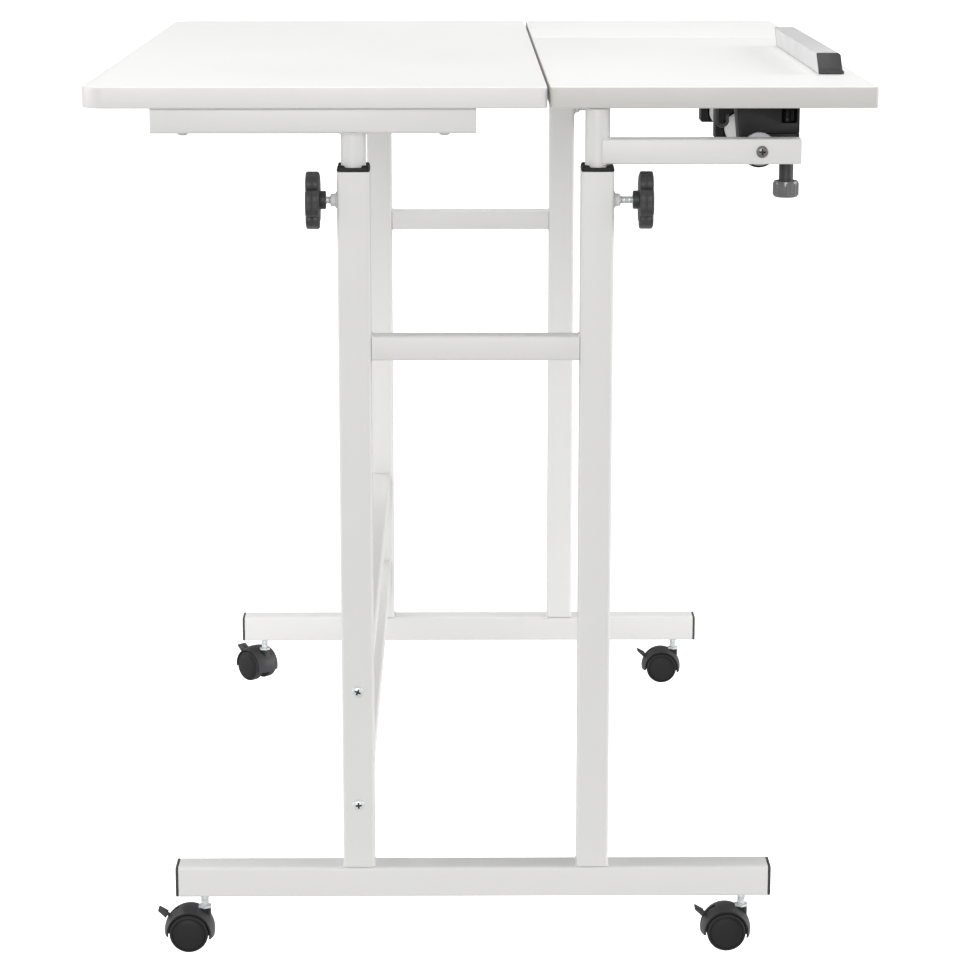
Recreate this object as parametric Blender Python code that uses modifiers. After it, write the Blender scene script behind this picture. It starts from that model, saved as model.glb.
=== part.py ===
# A mobile sit-stand desk with two height-adjustable carriages, a tilting front board,
# a fixed side board and four braked twin-wheel casters.
# Metres, +Z up, the user on the -Y side, origin on the floor under the middle of the boards.
import math

import bmesh
import bpy
from mathutils import Matrix

# Boards
BOARD_WIDTH = 0.800
BOARD_THICKNESS = 0.016
REAR_BOARD_DEPTH = 0.351
FRONT_BOARD_DEPTH = 0.247
TILT_BOARD_WIDTH = 0.552
BOARD_GAP = 0.002
REAR_CORNER_RADIUS = 0.018
SPLIT_CORNER_RADIUS = 0.006
FRONT_CORNER_RADIUS = 0.003
BOARD_EDGE_RADIUS = 0.001

# Side frames: foot beams, posts, rails and the two stretchers at the rear
FRAME_INSET = 0.0025
FOOT_SIDE = 0.025
FOOT_WALL = 0.0015
FOOT_LENGTH = 0.474
FOOT_BEHIND_MIDDLE = 0.002
PLUG_FLANGE = 0.0024
PLUG_INSERT = 0.012
PLUG_EDGE_RADIUS = 0.0006
POST_SIDE = 0.025
POST_WALL = 0.0015
POST_LENGTH = 0.552
POST_SPACING = 0.185
REAR_OVERHANG = 0.2045
RAIL_SIDE = 0.019
RAIL_WALL = 0.0012
RAIL_BELOW_POST_TOP = 0.126
STRETCHER_SIDE = 0.019
STRETCHER_WALL = 0.0012
UPPER_STRETCHER_HEIGHT = 0.216
LOWER_STRETCHER_HEIGHT = 0.123
TUBE_CORNER_RADIUS = 0.0022

# Lift tubes, their guides and the star knobs that clamp them
LIFT_TUBE_DIAMETER = 0.019
LIFT_TUBE_WALL = 0.0012
LIFT_TUBE_IN_POST = 0.470
GUIDE_FLANGE = 0.0027
GUIDE_EAR_HEIGHT = 0.002
GUIDE_POCKET_RADIUS = 0.0135
GUIDE_SLEEVE = 0.015
KNOB_BELOW_POST_TOP = 0.0225
KNOB_DIAMETER = 0.0445
KNOB_LOBES = 5
KNOB_NOTCH_DEPTH = 0.0045
KNOB_LOBE_POWER = 4.0
FRONT_KNOB_TURN = 38.0
REAR_KNOB_TURN = 39.0
KNOB_THICKNESS = 0.0104
KNOB_EDGE_RADIUS = 0.0012
KNOB_HUB_DIAMETER = 0.014
KNOB_HUB_LENGTH = 0.0047
KNOB_BOLT_DIAMETER = 0.006
FRONT_KNOB_STANDOFF = 0.0094
REAR_KNOB_STANDOFF = 0.0034
WELD_NUT_FLATS = 0.011
WELD_NUT_HEIGHT = 0.0053

# Rear carriage
SUPPORT_SIDE = 0.019
SUPPORT_WALL = 0.0012
SUPPORT_LENGTH = 0.246
SUPPORT_BEHIND_POST = 0.153
SUPPORT_SCREW_FROM_END = 0.024
SUPPORT_SCREW_HOLE = 0.005

# Front carriage: arms and the cross tube that the front boards sit on
ARM_SIDE = 0.019
ARM_WALL = 0.0012
ARM_PAST_PIVOT = 0.030
ARM_COPE_SETBACK = 0.003
PIVOT_FROM_POST = 0.124
PIVOT_BELOW_BOARD = 0.0332
TILT_TUBE_DIAMETER = 0.025
TILT_TUBE_WALL = 0.0015
TILT_TUBE_END = 0.008
PIVOT_BOLT_DIAMETER = 0.006
PIVOT_BOLT_HEAD = 0.009
PIVOT_BOLT_HEAD_HEIGHT = 0.003
PIVOT_BOLT_GRIP = 0.007
FRONT_TUBE_BELOW_BOARD = 0.0008

# Moulded clamps and saddles on the cross tube
SADDLE_HALF_DEPTH = 0.0195
SADDLE_BELOW_PIVOT = 0.0091
SADDLE_WIDTH = 0.026
TILT_SADDLE_SPREAD = 0.146
CLAMP_WIDTH = 0.030
CLAMP_HALF_DEPTH = 0.0175
CLAMP_RING_WALL = 0.0016
CLAMP_FROM_ARM = 0.0035
CLAMP_FRONT_REACH = 0.0305
CLAMP_JAW_BELOW_PIVOT = 0.0052
CLAMP_SLIT_ABOVE_PIVOT = 0.011
CLAMP_SLIT = 0.0012
CLAMP_WINDOW_DEPTH = 0.022
CLAMP_WINDOW_WIDTH = 0.012
CLAMP_WINDOW_HEIGHT = 0.011
CLAMP_WINDOW_BELOW_BOARD = 0.0025
CLAMP_SCREW_FROM_PIVOT = 0.0225
CLAMP_SCREW_DIAMETER = 0.006
CLAMP_SLEEVE_DIAMETER = 0.011
CLAMP_SLEEVE_LENGTH = 0.0205
CLAMP_KNOB_DIAMETER = 0.020
CLAMP_KNOB_LENGTH = 0.0125
CLAMP_KNOB_EDGE = 0.0014
SIDE_SADDLE_FROM_SPLIT = 0.026

# Ledge and hook on the tilting board
LEDGE_LENGTH = 0.316
LEDGE_FROM_FRONT = 0.0115
LEDGE_DEPTH = 0.0221
LEDGE_HEIGHT = 0.0165
LEDGE_LEAN = 0.0022
LEDGE_FOOT = 0.0014
LEDGE_FOOT_HEIGHT = 0.0034
LEDGE_SLOPE = 0.0014
LEDGE_ROUND = 0.003
LEDGE_WALL = 0.0016
LEDGE_CAP = 0.0025
LEDGE_CAP_INSERT = 0.008
HOOK_WIRE = 0.0025
HOOK_DROP = 0.024
HOOK_BEND_RADIUS = 0.0042
HOOK_TIP_RISE = 0.005
HOOK_IN_BOARD = 0.009
HOOK_FROM_END = 0.100
HOOK_BEHIND_PIVOT = 0.0265

# Casters
CASTER_HEIGHT = 0.046
CASTER_TRAIL = 0.0124
WHEEL_DIAMETER = 0.031
WHEEL_WIDTH = 0.010
WHEEL_SPACING = 0.021
WHEEL_EDGE_RADIUS = 0.0022
WHEEL_DOME = 0.0012
AXLE_DIAMETER = 0.004
HOOD_GAP = 0.0006
HOOD_WALL = 0.0014
HOOD_RISE = 0.0027
HOOD_WIDTH = 0.027
HOOD_LEVER_SIDE_ANGLE = -8.0
HOOD_STEM_SIDE_ANGLE = 195.0
WEB_THICKNESS = 0.009
WEB_HUB_DIAMETER = 0.011
STEM_INSET = 0.0225
STEM_DIAMETER = 0.0064
STEM_IN_FOOT = 0.012
STEM_BOSS_DIAMETER = 0.0098
STEM_BOSS_HEIGHT = 0.034
STEM_NUT_FLATS = 0.010
STEM_NUT_HEIGHT = 0.0016
BRAKE_ANGLE = 38.0
BRAKE_LEAN = 30.0
BRAKE_SLOT_BELOW = 36.0
BRAKE_SLOT_ABOVE = 27.0
BRAKE_PIN_ABOVE_WHEEL = 0.0021
BRAKE_EYE_RADIUS = 0.0017
BRAKE_PIN_DIAMETER = 0.002
BRAKE_PIN_END = 0.0011
BRAKE_TONGUE_WIDTH = 0.0026
BRAKE_TONGUE_THICKNESS = 0.0022
BRAKE_TAB_WIDTH = 0.011
BRAKE_TAB_START = 0.0041
BRAKE_TOE_RADIUS = 0.0008
BRAKE_HEEL_DEPTH = 0.0026
BRAKE_LENGTH = 0.0127
PARKED_SWIVEL = {"right_rear": -44.0}

# Clearances: SEAM between faces that touch, FIT round what is pushed in, SLIDE round what moves
SEAM = 0.0003
FIT = 0.0003
SLIDE = 0.0003

# Smoothness of round shapes
TUBE_SEGMENTS = 20
SMALL_SEGMENTS = 12
WHEEL_SEGMENTS = 20
HOOD_SEGMENTS = 24
HOOD_SWELL_SEGMENTS = 4
LOBE_SEGMENTS = 10

# Heights that follow from the sizes above
foot_top = CASTER_HEIGHT + FOOT_SIDE
post_bottom = foot_top + SEAM
post_top = post_bottom + POST_LENGTH
guide_bottom = post_top + SEAM
guide_top = guide_bottom + GUIDE_FLANGE + GUIDE_EAR_HEIGHT
arm_bottom = guide_top + SEAM
pivot_z = arm_bottom + ARM_SIDE / 2
board_bottom = pivot_z + PIVOT_BELOW_BOARD
board_middle = board_bottom + BOARD_THICKNESS / 2
lift_tube_bottom = post_top - LIFT_TUBE_IN_POST
knob_z = post_top - KNOB_BELOW_POST_TOP

# Places along X and Y
frame_x = BOARD_WIDTH / 2 - FRAME_INSET - POST_SIDE / 2
rear_edge = (REAR_BOARD_DEPTH + BOARD_GAP + FRONT_BOARD_DEPTH) / 2
rear_board_y = rear_edge - REAR_BOARD_DEPTH / 2
front_edge = -rear_edge
front_board_y = front_edge + FRONT_BOARD_DEPTH / 2
rear_post_y = rear_edge - REAR_OVERHANG
front_post_y = rear_post_y - POST_SPACING
rail_y = (rear_post_y + front_post_y) / 2
foot_y = rail_y + FOOT_BEHIND_MIDDLE
pivot_y = front_post_y - PIVOT_FROM_POST
tilt_board_x = (TILT_BOARD_WIDTH - BOARD_WIDTH) / 2
side_board_width = BOARD_WIDTH - TILT_BOARD_WIDTH - BOARD_GAP
side_board_x = (BOARD_WIDTH - side_board_width) / 2
arm_inner_x = frame_x - ARM_SIDE / 2
clamp_x = arm_inner_x - CLAMP_FROM_ARM - CLAMP_WIDTH / 2

SIDES = {"left": -1, "right": 1}
ENDS = {"front": -1, "rear": 1}
POST_Y = {"front": front_post_y, "rear": rear_post_y}
KNOB_STANDOFFS = {"front": FRONT_KNOB_STANDOFF, "rear": REAR_KNOB_STANDOFF}
KNOB_TURNS = {"front": FRONT_KNOB_TURN, "rear": REAR_KNOB_TURN}

# An outline drawn in two axes is extruded along the third
EXTRUDE_ALONG = {
    "X": Matrix(((0, 0, 1, 0), (1, 0, 0, 0), (0, 1, 0, 0), (0, 0, 0, 1))),
    "Y": Matrix(((1, 0, 0, 0), (0, 0, -1, 0), (0, 1, 0, 0), (0, 0, 0, 1))),
    "Z": Matrix.Identity(4),
}


def clear_scene():
    for old in list(bpy.data.objects):
        bpy.data.objects.remove(old)


def new_collection(name):
    collection = bpy.data.collections.new(name)
    bpy.context.scene.collection.children.link(collection)
    return collection


def material(name, colour, roughness, metallic=0.0):
    made = bpy.data.materials.new(name)
    made.use_nodes = True
    shader = made.node_tree.nodes["Principled BSDF"]
    shader.inputs["Base Color"].default_value = (*colour, 1.0)
    shader.inputs["Roughness"].default_value = roughness
    shader.inputs["Metallic"].default_value = metallic
    return made


# Outlines


def arc(centre, radius, start, end, segments):
    points = []
    for step in range(segments + 1):
        angle = math.radians(start + (end - start) * step / segments)
        points.append((centre[0] + radius * math.cos(angle), centre[1] + radius * math.sin(angle)))
    return points


def circle(radius, segments, centre=(0.0, 0.0)):
    return arc(centre, radius, 0.0, 360.0, segments)[:-1]


def hexagon(flats):
    return circle(flats / math.sqrt(3), 6)


def rounded_rectangle(width, depth, radii, segments=3):
    # Radii go counter-clockwise from the +X +Y corner
    points = []
    corners = ((1, 1), (-1, 1), (-1, -1), (1, -1))
    for index, (sign_x, sign_y) in enumerate(corners):
        radius = radii[index]
        centre = (sign_x * (width / 2 - radius), sign_y * (depth / 2 - radius))
        points += arc(centre, radius, 90.0 * index, 90.0 * (index + 1), segments)
    return points


def rounded_square(side, radius, segments=2):
    return rounded_rectangle(side, side, [radius] * 4, segments)


def inset(outline, distance):
    # The same counter-clockwise outline with every edge moved inwards
    count = len(outline)
    moved = []
    for index in range(count):
        before, here, after = outline[index - 1], outline[index], outline[(index + 1) % count]
        first = edge_normal(before, here)
        second = edge_normal(here, after)
        scale = distance / (1.0 + first[0] * second[0] + first[1] * second[1])
        moved.append((here[0] + scale * (first[0] + second[0]), here[1] + scale * (first[1] + second[1])))
    return moved


def edge_normal(start, end):
    run, rise = end[0] - start[0], end[1] - start[1]
    length = math.hypot(run, rise)
    return (-rise / length, run / length)


# Solids


def mesh_of(scratch):
    # The evaluated mesh of a scratch object, with its seams welded; the scratch object goes
    graph = bpy.context.evaluated_depsgraph_get()
    mesh = bpy.data.meshes.new_from_object(scratch.evaluated_get(graph))
    bpy.data.objects.remove(scratch)
    shape = bmesh.new()
    shape.from_mesh(mesh)
    bmesh.ops.remove_doubles(shape, verts=shape.verts, dist=1e-6)
    bmesh.ops.recalc_face_normals(shape, faces=shape.faces)
    shape.to_mesh(mesh)
    shape.free()
    return mesh


def scratch_object(data):
    made = bpy.data.objects.new("scratch", data)
    made.hide_render = True
    made.display_type = "WIRE"
    cutters.objects.link(made)
    return made


def prism(outlines, length, axis, offset=(0.0, 0.0, 0.0)):
    # The first outline is the outside, the others are holes; centred on the offset along its axis
    curve = bpy.data.curves.new("outline", "CURVE")
    curve.dimensions = "2D"
    curve.fill_mode = "BOTH"
    curve.extrude = length / 2
    for outline in outlines:
        spline = curve.splines.new("POLY")
        spline.points.add(len(outline) - 1)
        spline.use_cyclic_u = True
        for point, (across, up) in zip(spline.points, outline):
            point.co = (across, up, 0.0, 1.0)
    mesh = mesh_of(scratch_object(curve))
    mesh.transform(Matrix.Translation(offset) @ EXTRUDE_ALONG[axis])
    return mesh


def cylinder(diameter, length, axis, segments=SMALL_SEGMENTS, offset=(0.0, 0.0, 0.0)):
    shape = bmesh.new()
    bmesh.ops.create_cone(
        shape,
        cap_ends=True,
        segments=segments,
        radius1=diameter / 2,
        radius2=diameter / 2,
        depth=length,
        matrix=Matrix.Translation(offset) @ EXTRUDE_ALONG[axis],
    )
    mesh = bpy.data.meshes.new("cylinder")
    shape.to_mesh(mesh)
    shape.free()
    return mesh


def block(size, offset):
    shape = bmesh.new()
    bmesh.ops.create_cube(shape, size=1.0, matrix=Matrix.Translation(offset) @ Matrix.Diagonal((*size, 1.0)))
    mesh = bpy.data.meshes.new("block")
    shape.to_mesh(mesh)
    shape.free()
    return mesh


def turned(profile, axis, segments):
    # The profile runs from the top of the axis down the outer side to its bottom
    mesh = bpy.data.meshes.new("profile")
    points = [(radius, 0.0, height) for radius, height in profile]
    mesh.from_pydata(points, [(index, index + 1) for index in range(len(points) - 1)], [])
    scratch = scratch_object(mesh)
    screw = scratch.modifiers.new("turn", "SCREW")
    screw.steps = segments
    screw.render_steps = segments
    screw.use_merge_vertices = True
    screw.merge_threshold = 1e-6
    made = mesh_of(scratch)
    made.transform(EXTRUDE_ALONG[axis])
    return made


def combined(base, others, operation):
    target = scratch_object(base)
    tools = [scratch_object(other) for other in others]
    for tool in tools:
        step = target.modifiers.new("combine", "BOOLEAN")
        step.operation = operation
        step.solver = "EXACT"
        step.object = tool
    made = mesh_of(target)
    for tool in tools:
        bpy.data.objects.remove(tool)
    return made


def bevelled(mesh, width, segments):
    scratch = scratch_object(mesh)
    bevel = scratch.modifiers.new("edges", "BEVEL")
    bevel.width = width
    bevel.segments = segments
    bevel.limit_method = "ANGLE"
    bevel.angle_limit = math.radians(60)
    return mesh_of(scratch)


def square_tube(side, wall, length, axis):
    outer = rounded_square(side, TUBE_CORNER_RADIUS)
    inner = rounded_square(side - 2 * wall, max(TUBE_CORNER_RADIUS - wall, wall / 2), 1)
    return prism([outer, inner], length, axis)


def capped_tube(side, wall, length, axis):
    # A square tube with a plate welded over each end
    outside = prism([rounded_square(side, TUBE_CORNER_RADIUS)], length, axis)
    inside = prism([rounded_square(side - 2 * wall, wall / 2, 1)], length - 2 * wall, axis)
    return combined(outside, [inside], "DIFFERENCE")


def place(name, mesh, finish, parent=None, location=(0.0, 0.0, 0.0), turn=0.0):
    if mesh.users == 0:
        mesh.materials.clear()
        mesh.materials.append(finish)
        mesh.shade_smooth()
        mesh.set_sharp_from_angle(angle=math.radians(35))
    node = bpy.data.objects.new(name, mesh)
    node.parent = parent
    node.location = location
    node.rotation_euler = (0.0, 0.0, math.radians(turn))
    desk.objects.link(node)
    return node


def joint_empty(name, location, parent=None):
    empty = bpy.data.objects.new(name, None)
    empty.empty_display_size = 0.03
    empty.location = location
    empty.parent = parent
    desk.objects.link(empty)
    return empty


# Side frames


def foot_mesh():
    length = FOOT_LENGTH - 2 * (PLUG_FLANGE + SEAM)
    holes = []
    for end in ENDS.values():
        place_y = end * (FOOT_LENGTH / 2 - STEM_INSET)
        offset = (0.0, place_y, -FOOT_SIDE / 2)
        holes.append(cylinder(STEM_DIAMETER + 2 * FIT, 4 * FOOT_WALL, "Z", SMALL_SEGMENTS, offset))
    return combined(square_tube(FOOT_SIDE, FOOT_WALL, length, "Y"), holes, "DIFFERENCE")


def foot_plug_mesh():
    # Flange on the +Y side of the tube's end, insert inside the tube
    flange_outline = rounded_square(FOOT_SIDE, TUBE_CORNER_RADIUS)
    flange = prism([flange_outline], PLUG_FLANGE, "Y", (0.0, PLUG_FLANGE / 2, 0.0))
    flange = bevelled(flange, PLUG_EDGE_RADIUS, 1)
    insert_side = FOOT_SIDE - 2 * (FOOT_WALL + FIT)
    overlap = PLUG_FLANGE / 2
    insert_offset = (0.0, (overlap - PLUG_INSERT) / 2, 0.0)
    insert = prism([rounded_square(insert_side, FOOT_WALL)], PLUG_INSERT + overlap, "Y", insert_offset)
    return combined(flange, [insert], "UNION")


def post_mesh(end):
    tube = square_tube(POST_SIDE, POST_WALL, POST_LENGTH, "Z")
    tube.transform(Matrix.Translation((0.0, 0.0, POST_LENGTH / 2)))
    bolt_z = POST_LENGTH - KNOB_BELOW_POST_TOP
    nut_length = WELD_NUT_HEIGHT + POST_WALL / 2
    nut_y = end * (POST_SIDE / 2 + WELD_NUT_HEIGHT - nut_length / 2)
    nut = prism([hexagon(WELD_NUT_FLATS)], nut_length, "Y", (0.0, nut_y, bolt_z))
    hole_length = 2 * (WELD_NUT_HEIGHT + 2 * POST_WALL)
    hole_offset = (0.0, end * POST_SIDE / 2, bolt_z)
    hole = cylinder(KNOB_BOLT_DIAMETER + 2 * FIT, hole_length, "Y", SMALL_SEGMENTS, hole_offset)
    return combined(combined(tube, [nut], "UNION"), [hole], "DIFFERENCE")


def guide_mesh():
    # Flange with four raised corners on top of the post, sleeve inside it
    bore = circle(LIFT_TUBE_DIAMETER / 2 + SLIDE, TUBE_SEGMENTS)
    height = GUIDE_FLANGE + GUIDE_EAR_HEIGHT
    flange = prism([rounded_square(POST_SIDE, TUBE_CORNER_RADIUS), bore], height, "Z", (0.0, 0.0, height / 2))
    pocket_offset = (0.0, 0.0, GUIDE_FLANGE + GUIDE_EAR_HEIGHT)
    pocket = cylinder(2 * GUIDE_POCKET_RADIUS, 2 * GUIDE_EAR_HEIGHT, "Z", TUBE_SEGMENTS, pocket_offset)
    flange = combined(flange, [pocket], "DIFFERENCE")
    sleeve_side = POST_SIDE - 2 * (POST_WALL + FIT)
    overlap = GUIDE_FLANGE / 2
    sleeve_length = GUIDE_SLEEVE + overlap
    sleeve_offset = (0.0, 0.0, (overlap - GUIDE_SLEEVE) / 2)
    sleeve = prism([rounded_square(sleeve_side, POST_WALL), bore], sleeve_length, "Z", sleeve_offset)
    return combined(flange, [sleeve], "UNION")


def knob_outline(turn):
    # Broad lobes with a notch between each two; the points crowd towards the notches
    outline = []
    for lobe in range(KNOB_LOBES):
        for step in range(LOBE_SEGMENTS):
            across = math.sin(math.pi * (step / LOBE_SEGMENTS - 0.5))
            angle = math.radians(turn + 360.0 * (lobe + across / 2) / KNOB_LOBES)
            reach = KNOB_DIAMETER / 2 - KNOB_NOTCH_DEPTH * abs(across) ** KNOB_LOBE_POWER
            outline.append((reach * math.cos(angle), reach * math.sin(angle)))
    return outline


def knob_mesh(end, standoff, turn):
    # A lobed knob with its hub and bolt; the origin is on the post's outer face, the bolt runs inwards
    outline = knob_outline(turn)
    hub_start = WELD_NUT_HEIGHT + standoff
    grip_start = hub_start + KNOB_HUB_LENGTH
    grip = prism([outline], KNOB_THICKNESS, "Y", (0.0, end * (grip_start + KNOB_THICKNESS / 2), 0.0))
    grip = bevelled(grip, KNOB_EDGE_RADIUS, 1)
    overlap = KNOB_THICKNESS / 2
    hub_length = KNOB_HUB_LENGTH + overlap
    hub_offset = (0.0, end * (hub_start + hub_length / 2), 0.0)
    hub = cylinder(KNOB_HUB_DIAMETER, hub_length, "Y", SMALL_SEGMENTS, hub_offset)
    tip = LIFT_TUBE_DIAMETER / 2 + SEAM - POST_SIDE / 2
    bolt_end = hub_start + overlap
    bolt_offset = (0.0, end * (tip + bolt_end) / 2, 0.0)
    bolt = cylinder(KNOB_BOLT_DIAMETER, bolt_end - tip, "Y", SMALL_SEGMENTS, bolt_offset)
    return combined(grip, [hub, bolt], "UNION")


def build_frame():
    foot = foot_mesh()
    plug = foot_plug_mesh()
    posts = {end: post_mesh(sign) for end, sign in ENDS.items()}
    guide = guide_mesh()
    rail_length = POST_SPACING - POST_SIDE - 2 * SEAM
    rail = square_tube(RAIL_SIDE, RAIL_WALL, rail_length, "Y")
    rail_z = post_top - RAIL_BELOW_POST_TOP - RAIL_SIDE / 2
    for side, sign in SIDES.items():
        x = sign * frame_x
        place(f"{side}_foot", foot, white_steel, location=(x, foot_y, CASTER_HEIGHT + FOOT_SIDE / 2))
        place(f"{side}_side_rail", rail, white_steel, location=(x, rail_y, rail_z))
        for end, toward in ENDS.items():
            y = POST_Y[end]
            plug_y = foot_y + toward * (FOOT_LENGTH / 2 - PLUG_FLANGE)
            plug_turn = 0.0 if toward > 0 else 180.0
            plug_place = (x, plug_y, CASTER_HEIGHT + FOOT_SIDE / 2)
            place(f"{side}_foot_{end}_plug", plug, black_plastic, location=plug_place, turn=plug_turn)
            place(f"{side}_{end}_post", posts[end], white_steel, location=(x, y, post_bottom))
            place(f"{side}_{end}_guide", guide, black_plastic, location=(x, y, guide_bottom))
    stretcher_length = 2 * frame_x - POST_SIDE - 2 * SEAM
    stretcher = square_tube(STRETCHER_SIDE, STRETCHER_WALL, stretcher_length, "X")
    heights = {"upper": UPPER_STRETCHER_HEIGHT, "lower": LOWER_STRETCHER_HEIGHT}
    for level, height in heights.items():
        place(f"{level}_stretcher", stretcher, white_steel, location=(0.0, rear_post_y, height))


def build_knobs():
    for end, toward in ENDS.items():
        knob = knob_mesh(toward, KNOB_STANDOFFS[end], KNOB_TURNS[end])
        for side, sign in SIDES.items():
            y = POST_Y[end] + toward * POST_SIDE / 2
            place(f"{side}_{end}_knob", knob, black_plastic, location=(sign * frame_x, y, knob_z))


# Rear carriage


def support_mesh():
    holes = []
    for end in ENDS.values():
        offset = (0.0, end * (SUPPORT_LENGTH / 2 - SUPPORT_SCREW_FROM_END), 0.0)
        holes.append(cylinder(SUPPORT_SCREW_HOLE, 2 * SUPPORT_SIDE, "Z", SMALL_SEGMENTS, offset))
    bar = capped_tube(SUPPORT_SIDE, SUPPORT_WALL, SUPPORT_LENGTH, "Y")
    return combined(bar, holes, "DIFFERENCE")


def lift_tube_mesh(length):
    outer = circle(LIFT_TUBE_DIAMETER / 2, TUBE_SEGMENTS)
    inner = circle(LIFT_TUBE_DIAMETER / 2 - LIFT_TUBE_WALL, TUBE_SEGMENTS)
    return prism([outer, inner], length, "Z", (0.0, 0.0, length / 2))


def board_mesh(width, depth, radii):
    plate = prism([rounded_rectangle(width, depth, radii, 4)], BOARD_THICKNESS, "Z")
    return bevelled(plate, BOARD_EDGE_RADIUS, 2)


def build_rear_carriage():
    carriage = joint_empty("rear_carriage", (0.0, rear_post_y, post_top))
    outer, inner = REAR_CORNER_RADIUS, SPLIT_CORNER_RADIUS
    board = board_mesh(BOARD_WIDTH, REAR_BOARD_DEPTH, (outer, outer, inner, inner))
    board_place = (0.0, rear_board_y - rear_post_y, board_middle - post_top)
    place("rear_board", board, white_laminate, carriage, board_place)
    support_z = board_bottom - SEAM - SUPPORT_SIDE / 2
    support_y = SUPPORT_BEHIND_POST - SUPPORT_LENGTH / 2
    tube_length = support_z - SUPPORT_SIDE / 2 - SEAM - lift_tube_bottom
    support = support_mesh()
    tube = lift_tube_mesh(tube_length)
    for side, sign in SIDES.items():
        x = sign * frame_x
        support_place = (x, support_y, support_z - post_top)
        place(f"{side}_rear_support", support, white_steel, carriage, support_place)
        place(f"{side}_rear_lift_tube", tube, white_steel, carriage, (x, 0.0, lift_tube_bottom - post_top))


# Front carriage


def arm_mesh():
    # Runs from the lift tube towards the user; the origin is on the lift tube's axis
    far_end = -PIVOT_FROM_POST - ARM_PAST_PIVOT
    length = -ARM_COPE_SETBACK - far_end
    middle = (far_end - ARM_COPE_SETBACK) / 2
    outside = prism([rounded_square(ARM_SIDE, TUBE_CORNER_RADIUS)], length, "Y", (0.0, middle, 0.0))
    hollow_side = ARM_SIDE - 2 * ARM_WALL
    hollow_offset = (0.0, middle + ARM_WALL, 0.0)
    hollow = prism([rounded_square(hollow_side, ARM_WALL / 2, 1)], length, "Y", hollow_offset)
    cope = cylinder(LIFT_TUBE_DIAMETER + 2 * SEAM, 2 * ARM_SIDE, "Z", TUBE_SEGMENTS)
    bolt_offset = (0.0, -PIVOT_FROM_POST, 0.0)
    bolt_hole = cylinder(PIVOT_BOLT_DIAMETER + 2 * FIT, 2 * ARM_SIDE, "X", SMALL_SEGMENTS, bolt_offset)
    return combined(outside, [hollow, cope, bolt_hole], "DIFFERENCE")


def tilt_tube_mesh():
    length = 2 * (arm_inner_x - SEAM)
    outside = cylinder(TILT_TUBE_DIAMETER, length, "X", TUBE_SEGMENTS)
    hollow_diameter = TILT_TUBE_DIAMETER - 2 * TILT_TUBE_WALL
    hollow = cylinder(hollow_diameter, length - 2 * TILT_TUBE_END, "X", TUBE_SEGMENTS)
    bore = cylinder(PIVOT_BOLT_DIAMETER + 2 * FIT, 2 * length, "X", SMALL_SEGMENTS)
    return combined(outside, [hollow, bore], "DIFFERENCE")


def pivot_bolt_mesh():
    # Head outwards along +X, its seat at the origin
    head = PIVOT_BOLT_HEAD / 2
    shank = PIVOT_BOLT_DIAMETER / 2
    length = SEAM + ARM_SIDE + SEAM + PIVOT_BOLT_GRIP
    dome = arc((0.0, 0.0), 1.0, 90.0, 20.0, 3)
    profile = [(head * across, PIVOT_BOLT_HEAD_HEIGHT * up) for across, up in dome]
    profile += [(head, 0.0), (shank, 0.0), (shank, -length), (0.0, -length)]
    profile[0] = (0.0, PIVOT_BOLT_HEAD_HEIGHT)
    return turned(profile, "X", SMALL_SEGMENTS)


def saddle_mesh():
    # A block under the board that snaps over the cross tube, drawn about the tube's axis
    half = SADDLE_HALF_DEPTH
    top = PIVOT_BELOW_BOARD - SEAM
    bore = TILT_TUBE_DIAMETER / 2 + SLIDE
    mouth = math.degrees(math.asin(SADDLE_BELOW_PIVOT / bore))
    outline = [(half, top), (-half, top), (-half, -SADDLE_BELOW_PIVOT)]
    outline += arc((0.0, 0.0), bore, 180.0 + mouth, -mouth, TUBE_SEGMENTS)
    outline.append((half, -SADDLE_BELOW_PIVOT))
    return prism([outline], SADDLE_WIDTH, "X")


def clamp_outline():
    # The saddle's rear half with two jaws on the user's side, parted by a slit into the bore.
    # The first axis is Y, so the jaws lie at negative values.
    front = -CLAMP_FRONT_REACH
    top = PIVOT_BELOW_BOARD - SEAM
    bore = TILT_TUBE_DIAMETER / 2 + SLIDE
    ring = bore + CLAMP_RING_WALL
    slit_low = CLAMP_SLIT_ABOVE_PIVOT
    slit_high = slit_low + CLAMP_SLIT
    jaw_angle = math.degrees(math.asin(CLAMP_JAW_BELOW_PIVOT / ring))
    low_angle = 180.0 - math.degrees(math.asin(slit_low / bore))
    high_angle = 180.0 - math.degrees(math.asin(slit_high / bore))
    points = [(CLAMP_HALF_DEPTH, top), (front, top), (front, slit_high)]
    points += arc((0.0, 0.0), bore, high_angle, low_angle - 360.0, TUBE_SEGMENTS)
    points += [(front, slit_low), (front, -CLAMP_JAW_BELOW_PIVOT)]
    points += arc((0.0, 0.0), ring, 180.0 + jaw_angle, 360.0, TUBE_SEGMENTS // 2)
    return points


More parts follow.
